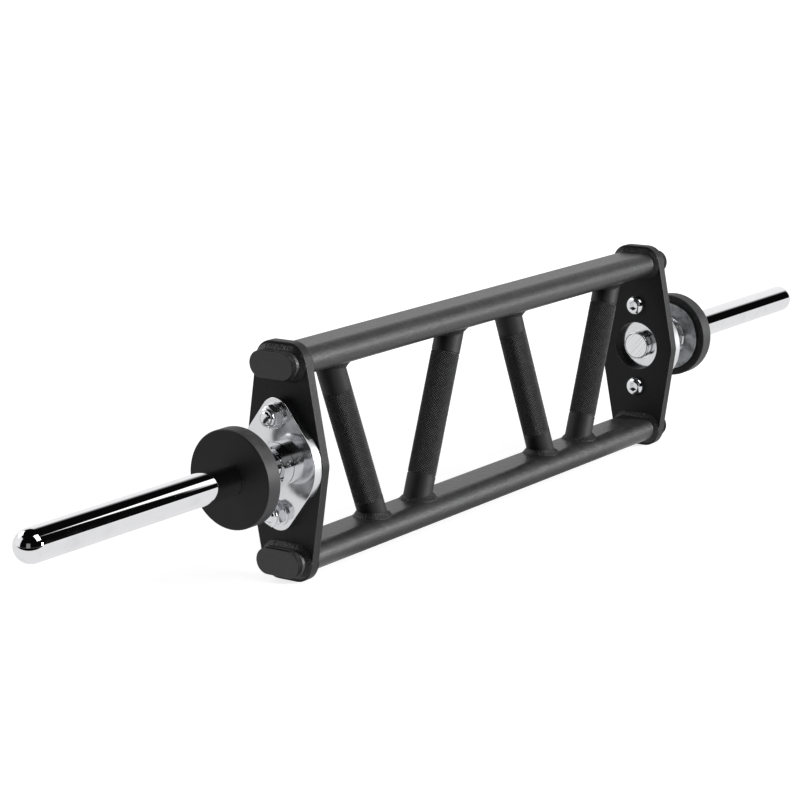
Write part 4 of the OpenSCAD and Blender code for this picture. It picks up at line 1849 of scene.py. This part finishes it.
def bead_tree() -> bpy.types.NodeTree:
    """Builds the tree that raises the overlapping ripples of a weld on a plain bead.

    Returns:
        The tree, with its sizes as named inputs.
    """
    tree = new_group(
        "weld_ripples",
        "GeometryNodeTree",
        {
            "Bead": GEOMETRY,
            "Pitch": FLOAT,
            "Height": FLOAT,
            "Lag": FLOAT,
            "Unevenness": FLOAT,
            "Seed": FLOAT,
            "Coat": MATERIAL,
        },
        {"Geometry": GEOMETRY},
    )
    t = Tree(tree)
    given = t.node("NodeGroupInput").outputs
    run, over = (
        t.node("GeometryNodeInputNamedAttribute", {"Name": name}, data_type="FLOAT").outputs[0]
        for name in ("along", "across")
    )
    middle = t.minus(t.times(over, 2.0), 1.0)
    bow = t.times(middle, middle, given["Lag"])
    phase = t.minus(t.math("DIVIDE", run, given["Pitch"]), bow)
    scale = t.math("ABSOLUTE", t.math("SINE", t.times(phase, math.pi)))
    where = t.node("GeometryNodeInputPosition").outputs[0]
    rough = t.node(
        "ShaderNodeTexNoise",
        {"Vector": where, "W": given["Seed"], "Scale": LUMP_SCALE, "Detail": 2.0},
        noise_dimensions="4D",
    )
    off_mean = t.minus(rough.outputs["Fac"], 0.5)
    lumps = t.times(off_mean, given["Unevenness"])
    window = t.times(over, t.rest(over), 4.0)
    height = t.plus(t.times(scale, given["Height"]), lumps)
    lift = t.times(height, window)
    normal = t.node("GeometryNodeInputNormal").outputs[0]
    push = t.node("ShaderNodeVectorMath", {0: normal, "Scale": lift}, operation="SCALE")
    raised = t.node(
        "GeometryNodeSetPosition", {"Geometry": given["Bead"], "Offset": push.outputs[0]}
    )
    smooth = t.node("GeometryNodeSetShadeSmooth", {"Geometry": raised.outputs[0]})
    return coated(t, smooth.outputs[0], given["Coat"])


@dataclass
class Beads:
    """The weld beads, each a plain bead that a tree gives its ripples."""

    pitch: float = 0.0026
    height: float = 0.00030
    lag: float = 0.6
    unevenness: float = 0.0018
    sample: float = 0.00032
    facets: int = 7
    root_depth: float = 0.25
    tree: bpy.types.NodeTree = field(default_factory=bead_tree)

    def ring(self, sections: list[list[Vector]]) -> bpy.types.Mesh:
        """Makes a plain bead from its sections, closed on itself.

        Args:
            sections: The sections in order along the bead. Each has the points of its face
                from one toe to the other, and last a point inside the metal.

        Returns:
            The mesh, with how far along and across each point lies.
        """
        count, width = len(sections), len(sections[0])
        middle = [section[self.facets // 2] for section in sections]
        along, total = [], 0.0
        for i, point in enumerate(middle):
            along.append(total)
            total += (middle[(i + 1) % count] - point).length
        waves = max(1, round(total / self.pitch))
        stretch = waves * self.pitch / total
        points, runs, overs = [], [], []
        for section, run in zip(sections, along):
            for k, point in enumerate(section):
                points.append(tuple(point))
                runs.append(run * stretch)
                overs.append(k / self.facets if k <= self.facets else 0.0)
        faces = []
        for i in range(count):
            j = (i + 1) % count
            for k in range(width):
                m = (k + 1) % width
                faces.append((i * width + k, i * width + m, j * width + m, j * width + k))
        mesh = bpy.data.meshes.new("bead")
        mesh.from_pydata(points, [], faces)
        for name, values in (("along", runs), ("across", overs)):
            layer = mesh.attributes.new(name, "FLOAT", "POINT")
            layer.data.foreach_set("value", values)
        face_outwards(mesh)
        return mesh

    def section(self, high: Vector, low: Vector, root: Vector, fill: float) -> list[Vector]:
        """Makes one section of a bead.

        Args:
            high: The toe on one piece.
            low: The toe on the other piece.
            root: The corner between the pieces.
            fill: How full the bead is: 0.5 is flat and less is hollow.

        Returns:
            The points of the face, then a point inside the metal.
        """
        reach = (high - root) + (low - root)
        pull = root + reach * fill
        points = []
        for k in range(self.facets + 1):
            s = k / self.facets
            points.append(high * (1 - s) ** 2 + pull * 2 * s * (1 - s) + low * s**2)
        return points + [root - reach * self.root_depth]

    def rippled(self, name: str, sections: list[list[Vector]], seed: float) -> bpy.types.Mesh:
        """Makes a bead with its ripples.

        Args:
            name: The mesh's name.
            sections: The bead's sections.
            seed: What sets its unevenness apart from the others'.

        Returns:
            The plain mesh.
        """
        return grown(
            self.tree,
            name,
            {
                "Pitch": self.pitch,
                "Height": self.height,
                "Lag": self.lag,
                "Unevenness": self.unevenness,
                "Seed": seed,
                "Coat": Finishes.weld.material(),
            },
            self.ring(sections),
        )


@dataclass
class RailWelds:
    """The beads round the rails, on both faces of each end plate."""

    leg: float = 0.0046
    fill: float = 0.48
    sunk: float = 0.0002
    beads: Beads = field(default_factory=Beads)

    def build(self) -> None:
        """Builds the beads of both plates."""
        for side in Side:
            meshes = []
            for number, level in enumerate(Level):
                for face, way in ((PLATE_X, -1.0), (PLATE_X + PLATE_T, 1.0)):
                    sections = self.sections(side, level, face, way)
                    # Each bead has a number of its own, so that no two are lumpy alike
                    seed = 3.0 * number + face * 10 + side.value
                    meshes.append(self.beads.rippled("rail_bead", sections, seed))
            piece = joined_piece(f"{side.word}_rail_beads", meshes, [Finishes.weld])
            settle(piece, FRAME, Finishes.weld.slot, f"{side.word}_rail_welds")

    def sections(self, side: Side, level: Level, face: float, way: float) -> list[list[Vector]]:
        """Works out the sections of one bead.

        Args:
            side: The end of the bar.
            level: Which rail.
            face: The plate face's distance from the middle.
            way: 1 where the bead lies outside the plate and -1 inside.

        Returns:
            The sections, round the rail.
        """
        root = RAIL_H / 2
        bend = math.pi * (root + self.leg / 2)
        steps = round(bend / self.beads.sample)
        across = round((RAIL_W - RAIL_H) / self.beads.sample)
        spine = Spine.flat_oval(steps, across)
        sunk = self.sunk
        made = []
        for (py, pz), (wy, wz) in zip(spine.points, spine.ways):

            def at(out: float, up: float) -> Vector:
                """A point out from the plate's face and up from the rail's skin."""
                r = root + up
                z = AXIS_Z + level.value * RAIL_Z + pz + r * wz
                return Vector((side.value * (face + way * out), py + r * wy, z))

            high, low = at(self.leg, -sunk), at(-sunk, self.leg)
            made.append(self.beads.section(high, low, at(0, 0), self.fill))
        return made


@dataclass
class Grip:
    """One grip: where it stands, which way it leans, and where its knurl is."""

    name: str
    x: float
    way: int
    shift: float
    lean: float = math.radians(20.8)
    radius: float = 0.014
    groove: float = 0.00060
    depth: float = 0.00080
    knurl: float = 0.122
    knurl_step: float = 0.0006
    columns: int = 66
    row: float = 0.00122
    # How far the tube runs on into the rails
    overlap: float = 0.001
    facets: int = 96
    sharp: float = math.radians(25.0)
    bead_leg: float = 0.0046
    bead_fill: float = 0.34
    bead_sunk: float = 0.0002
    # How a bead narrows on the grip's open side and widens on its tight side
    lean_pull: float = 0.9
    least_pull: float = 0.6
    widest: float = 1.25

    @property
    def placing(self) -> Matrix:
        """Turns and moves a grip that stands upright at the origin."""
        return Matrix.Translation((self.x, 0.0, AXIS_Z)) @ Matrix.Rotation(
            self.way * self.lean, 4, "Y"
        )

    @property
    def axis(self) -> Vector:
        """The grip's direction, upwards."""
        return self.placing.to_3x3() @ Vector((0.0, 0.0, 1.0))

    @property
    def knurl_low(self) -> float:
        """Where the knurl starts along the grip."""
        return self.shift - self.knurl / 2

    @property
    def knurl_high(self) -> float:
        """Where the knurl ends along the grip."""
        return self.shift + self.knurl / 2

    def rail_face(self, y: float) -> float:
        """How far the rail's skin lies below its flat face at y."""
        over = abs(y) - (RAIL_W - RAIL_H) / 2
        half = RAIL_H / 2
        return 0.0 if over <= 0 else half - math.sqrt(max(half**2 - over**2, 0.0))

    def build(self, beads: Beads, knurl: bpy.types.NodeTree, number: int) -> None:
        """Builds the tube, its knurl and its two weld beads.

        Args:
            beads: What makes the beads.
            knurl: The knurl's tree.
            number: The grip's number, which seeds its beads.
        """
        tube = self.tube()
        centre = self.placing @ Vector((0.0, 0.0, self.shift))
        skin = grown(knurl, f"{self.name}_knurl", {
            "Columns": self.columns,
            "Rows": round(self.knurl / self.row),
            "Length": self.knurl,
            "Root Radius": self.radius - self.groove,
            "Depth": self.depth,
            "Place": tuple(centre),
            "Turn": (0.0, self.way * self.lean, 0.0),
            "Coat": Finishes.knurl.material(),
        })
        finishes = [Finishes.grip, Finishes.knurl]
        # The knurl goes first, because the joined mesh keeps the marks of its first mesh
        piece = joined_piece(f"{self.name}_knurled", [skin, tube], finishes, [1, 0])
        settle(piece, FRAME, Finishes.grip.slot, self.name)
        welds = []
        for level in Level:
            sections = self.bead_sections(beads, level.value)
            seed = 40.0 + 7.0 * number + level.value
            welds.append(beads.rippled("grip_bead", sections, seed))
        piece = joined_piece(f"{self.name}_beads", welds, [Finishes.weld])
        settle(piece, FRAME, Finishes.weld.slot)

    def tube(self) -> bpy.types.Mesh:
        """Makes the plain tube, a little thinner under the knurl.

        Returns:
            The mesh, in place.
        """
        root = self.radius - self.groove
        end = (RAIL_Z - RAIL_H / 2) / math.cos(self.lean)
        reach = end + self.radius * math.tan(self.lean)
        corners = [
            Corner(-reach, self.radius),
            Corner(self.knurl_low - self.knurl_step, self.radius),
            Corner(self.knurl_low, root),
            Corner(self.knurl_high, root),
            Corner(self.knurl_high + self.knurl_step, self.radius),
            Corner(reach, self.radius),
        ]
        shell = Shell.swept(corners, Spine.circle(self.facets))
        upright = Matrix.Rotation(-math.pi / 2, 4, "Y")
        lower = Matrix.Translation((0.0, 0.0, -AXIS_Z))
        matrix = self.placing @ upright @ lower
        rail_low = AXIS_Z - RAIL_Z + RAIL_H / 2 - self.overlap
        rail_high = AXIS_Z + RAIL_Z - RAIL_H / 2 + self.overlap
        axis = self.axis
        for number, point in enumerate(shell.points):
            moved = matrix @ point
            if moved.z > rail_high:
                moved -= axis * ((moved.z - rail_high) / axis.z)
            if moved.z < rail_low:
                moved -= axis * ((moved.z - rail_low) / axis.z)
            shell.points[number] = moved
        mesh = bpy.data.meshes.new(f"{self.name}_tube")
        mesh.from_pydata([tuple(p) for p in shell.points], [], shell.faces)
        face_outwards(mesh)
        mesh.shade_smooth()
        mesh.set_sharp_from_angle(angle=self.sharp)
        return mesh

    def bead_sections(self, beads: Beads, level: int) -> list[list[Vector]]:
        """Works out the sections of the bead where the grip meets a rail.

        Args:
            beads: What makes the beads.
            level: 1 at the top rail and -1 at the bottom one.

        Returns:
            The sections, round the grip.
        """
        axis = self.axis
        face = AXIS_Z + level * (RAIL_Z - RAIL_H / 2)
        centre = self.placing.translation + axis * ((face - AXIS_Z) / axis.z)
        steps = round(math.tau * (self.radius + self.bead_leg / 2) / beads.sample)
        across = self.placing.to_3x3() @ Vector((1.0, 0.0, 0.0))
        sunk = self.bead_sunk
        made = []
        for i in range(steps):
            turn = math.tau * i / steps
            out = across * math.cos(turn) + Vector((0.0, 1.0, 0.0)) * math.sin(turn)
            skin = centre + out * self.radius
            drop = self.rail_face(skin.y)
            root = skin - axis * ((skin.z - face - level * drop) / axis.z)
            flat = Vector((out.x, out.y, 0.0)).normalized()
            pull = max(self.least_pull, 1.0 + (out.z * -level) * self.lean_pull)
            leg = self.bead_leg * min(self.widest, 1.0 / pull)
            high = root - axis * (level * leg) - out * sunk
            low = root + flat * leg
            low.z = face + level * (self.rail_face(low.y) + sunk)
            made.append(beads.section(high, low, root, self.bead_fill))
        return made


@dataclass
class Grips:
    """The four grips and their beads."""

    inner_x: float = 0.0795
    outer_x: float = 0.2105

    def build(self) -> None:
        """Builds the grips from left to right."""
        knurl = knurl_tree()
        beads = Beads()
        grips = [
            Grip("outer_left_grip", -self.outer_x, -1, -0.0033),
            Grip("inner_left_grip", -self.inner_x, 1, -0.0004),
            Grip("inner_right_grip", self.inner_x, -1, 0.0035),
            Grip("outer_right_grip", self.outer_x, 1, 0.0016),
        ]
        for number, grip in enumerate(grips):
            grip.build(beads, knurl, number)


@dataclass
class Bearings:
    """The flange bearings with their washers and nuts."""

    flange_edge: float = 0.0005
    nut_edge: float = 0.00035
    ring_edge: float = 0.0004
    spared: float = 0.030

    def build(self, nodes: dict[str, bpy.types.Object]) -> None:
        """Builds the flanges, rings, nuts and washers, and dresses what is in them.

        Args:
            nodes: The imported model's nodes.
        """
        rounded = (
            ("flange", "housing", Finishes.flange, self.flange_edge),
            ("washers", "rounded", Finishes.zinc, self.nut_edge),
            ("lock_nuts", "rounded", Finishes.zinc, self.nut_edge),
            ("inner_ring", "collar", Finishes.chrome, self.ring_edge),
        )
        dressed = {
            "outer_ring": Finishes.flange,
            "front_shield": Finishes.flange,
            "back_shield": Finishes.flange,
            "nut_inserts": Finishes.nylon,
            "balls": Finishes.bearing,
            "ball_cage": Finishes.satin,
            "ring_screws": Finishes.zinc,
        }
        for side in Side:
            for name, word, finish, edge in rounded:
                node = f"{side.word}_{name}"
                spared = self.spared if name == "flange" else 0.0
                piece = softened(nodes[node], f"{node}_{word}", [finish], edge, spared)
                body = side.body if name == "inner_ring" else FRAME
                settle(piece, body, finish.slot, node)
            for name, finish in dressed.items():
                dress(nodes[f"{side.word}_{name}"], finish)


@dataclass
class FlangeBolts:
    """The bolts of the flanges: domed heads with a hexagon socket, and threaded ends."""

    head_r: float = 0.0105
    head_h: float = 0.0066
    dome: float = 0.0054
    # The flat ring that the dome leaves round its open top
    rim_flat: float = 0.0001
    edge: float = 0.0003
    shank_r: float = 0.006
    flats: float = 0.008
    socket_deep: float = 0.0042
    # How far the bolt stands out of the flange, and how much of that is threaded
    stand_out: float = 0.015
    thread: float = 0.0125
    # The plain end inside the thread's far end, and the shank's end inside its near end
    end_deep: float = 0.002
    end_step: float = 0.0004
    shank_step: float = 0.001
    pitch: float = 0.00175
    thread_deep: float = 0.0008
    chamfer: float = 0.0012
    columns: int = 48
    rows: int = 100
    facets: int = 48
    sharp: float = 30.0

    def build(self) -> None:
        """Builds the four bolts, two to a piece."""
        tree = thread_tree()
        stop = PLATE_X + PLATE_T + FLANGE_T + self.stand_out
        start = stop - self.thread
        shells = (self.head(start), self.end(stop))
        for side in Side:
            meshes = []
            for level in Level:
                for shell in shells:
                    placed = shell.placed(side, level.value * BOLT_Z)
                    meshes.append(placed.mesh("bolt", self.sharp, exact=False))
                middle = side.value * (start + stop) / 2
                meshes.append(grown(tree, "thread", {
                    "Columns": self.columns,
                    "Rows": self.rows,
                    "Length": self.thread,
                    "Root Radius": self.shank_r - self.thread_deep,
                    "Depth": self.thread_deep,
                    "Pitch": self.pitch,
                    "Chamfer": self.chamfer,
                    "Place": (middle, 0.0, AXIS_Z + level.value * BOLT_Z),
                    "Turn": (0.0, side.value * math.pi / 2, 0.0),
                    "Coat": Finishes.bolt.material(),
                }))
            name = f"{side.word}_flange_bolts"
            piece = joined_piece(f"{name}_threaded", meshes, [Finishes.bolt])
            settle(piece, FRAME, Finishes.bolt.slot, name)

    def head(self, start: float) -> Shell:
        """Turns the domed head with its socket, and the plain shank.

        Args:
            start: Where the thread starts.

        Returns:
            The shell.
        """
        top = PLATE_X - self.head_h
        rim = self.head_r - self.dome
        corners = [
            Corner(top, rim),
            Corner(top, self.head_r, self.dome - self.rim_flat),
            Corner(PLATE_X, self.head_r, self.edge),
            Corner(PLATE_X, self.shank_r),
            Corner(start, self.shank_r),
            Corner(start, self.shank_r - self.shank_step),
        ]
        plain = Shell.swept(corners, Spine.circle(self.facets), lids=(False, True))
        return plain.with_socket(top, rim, self.flats, self.socket_deep)

    def end(self, stop: float) -> Shell:
        """Turns the plain end inside the thread.

        Args:
            stop: Where the bolt ends.

        Returns:
            The shell.
        """
        radius = self.shank_r - self.chamfer
        corners = [
            Corner(stop - self.end_deep, 0.0),
            Corner(stop - self.end_deep, radius - self.end_step),
            Corner(stop, radius, self.edge),
            Corner(stop, 0.0),
        ]
        return Shell.swept(corners, Spine.circle(self.facets))


@dataclass
class LoadingEnds:
    """The turning ends: sleeves, lock collars, steel discs and rubber stop discs."""

    sleeve_r: float = 0.015
    inner_edge: float = 0.0009
    tip_x: float = 0.643
    shoulder_x: float = 0.3865
    steel_x: float = 0.366
    rubber_x: float = 0.369
    rubber_end_x: float = 0.386
    collar_edge: float = 0.0006
    steel_r: float = 0.0375
    steel_edge: float = 0.0005
    steel_bore_edge: float = 0.0003
    rubber_r: float = 0.0455
    rubber_edge: float = 0.0016
    rubber_bore_edge: float = 0.0004
    sleeve_facets: int = 128
    sleeve_step: float = 3.0
    disc_facets: int = 144

    def build(self, nodes: dict[str, bpy.types.Object]) -> None:
        """Builds both ends.

        Args:
            nodes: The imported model's nodes.
        """
        for side in Side:
            self.sleeve(side)
            self.discs(side)
            collar = f"{side.word}_lock_collar"
            finish = Finishes.chrome
            piece = softened(nodes[collar], f"{collar}_rounded", [finish], self.collar_edge)
            settle(piece, side.body, finish.slot, collar)
            dress(nodes[f"{side.word}_collar_screws"], Finishes.zinc)

    def sleeve(self, side: Side) -> None:
        """Turns a sleeve with its round tip.

        Args:
            side: The end of the bar.
        """
        corners = [
            Corner(PLATE_X, 0.0, finish=1),
            Corner(PLATE_X, SEAT_R, self.inner_edge),
            Corner(self.shoulder_x, SEAT_R),
            Corner(self.shoulder_x, self.sleeve_r),
            Corner(self.tip_x, self.sleeve_r, self.sleeve_r),
            Corner(self.tip_x, 0.0),
        ]
        shell = Shell.swept(corners, Spine.circle(self.sleeve_facets), step=self.sleeve_step)
        finishes = [Finishes.chrome, Finishes.sawn]
        piece = shell.placed(side).piece(f"{side.word}_loading_sleeve", finishes)
        settle(piece, side.body, Finishes.chrome.slot, f"{side.word}_sleeve")

    def discs(self, side: Side) -> None:
        """Turns the steel disc and the rubber disc.

        Args:
            side: The end of the bar.
        """
        discs = (
            ("steel_disc", self.steel_x, self.rubber_x, self.steel_r, self.steel_edge,
             self.steel_bore_edge, Finishes.satin),
            ("rubber_disc", self.rubber_x, self.rubber_end_x, self.rubber_r, self.rubber_edge,
             self.rubber_bore_edge, Finishes.rubber),
        )
        for name, start, stop, radius, edge, bore_edge, finish in discs:
            corners = [
                Corner(start, BORE_R, bore_edge),
                Corner(start, radius, edge),
                Corner(stop, radius, edge),
                Corner(stop, BORE_R, bore_edge),
            ]
            shell = Shell.swept(corners, Spine.circle(self.disc_facets), closed=True)
            node = f"{side.word}_{name}"
            piece = shell.placed(side).piece(f"{node}_turned", [finish])
            settle(piece, side.body, finish.slot, node)


def main() -> None:
    """Builds the bar's looks and the studio, in order."""
    logging.basicConfig(level=logging.INFO, format="%(message)s")
    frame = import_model()
    nodes = frame["nodes"]
    Studio().build()
    Weldments().build(nodes)
    EndCaps().build(nodes)
    RailWelds().build()
    Grips().build()
    Bearings().build(nodes)
    FlangeBolts().build()
    LoadingEnds().build(nodes)


if __name__ == "__main__":
    main()
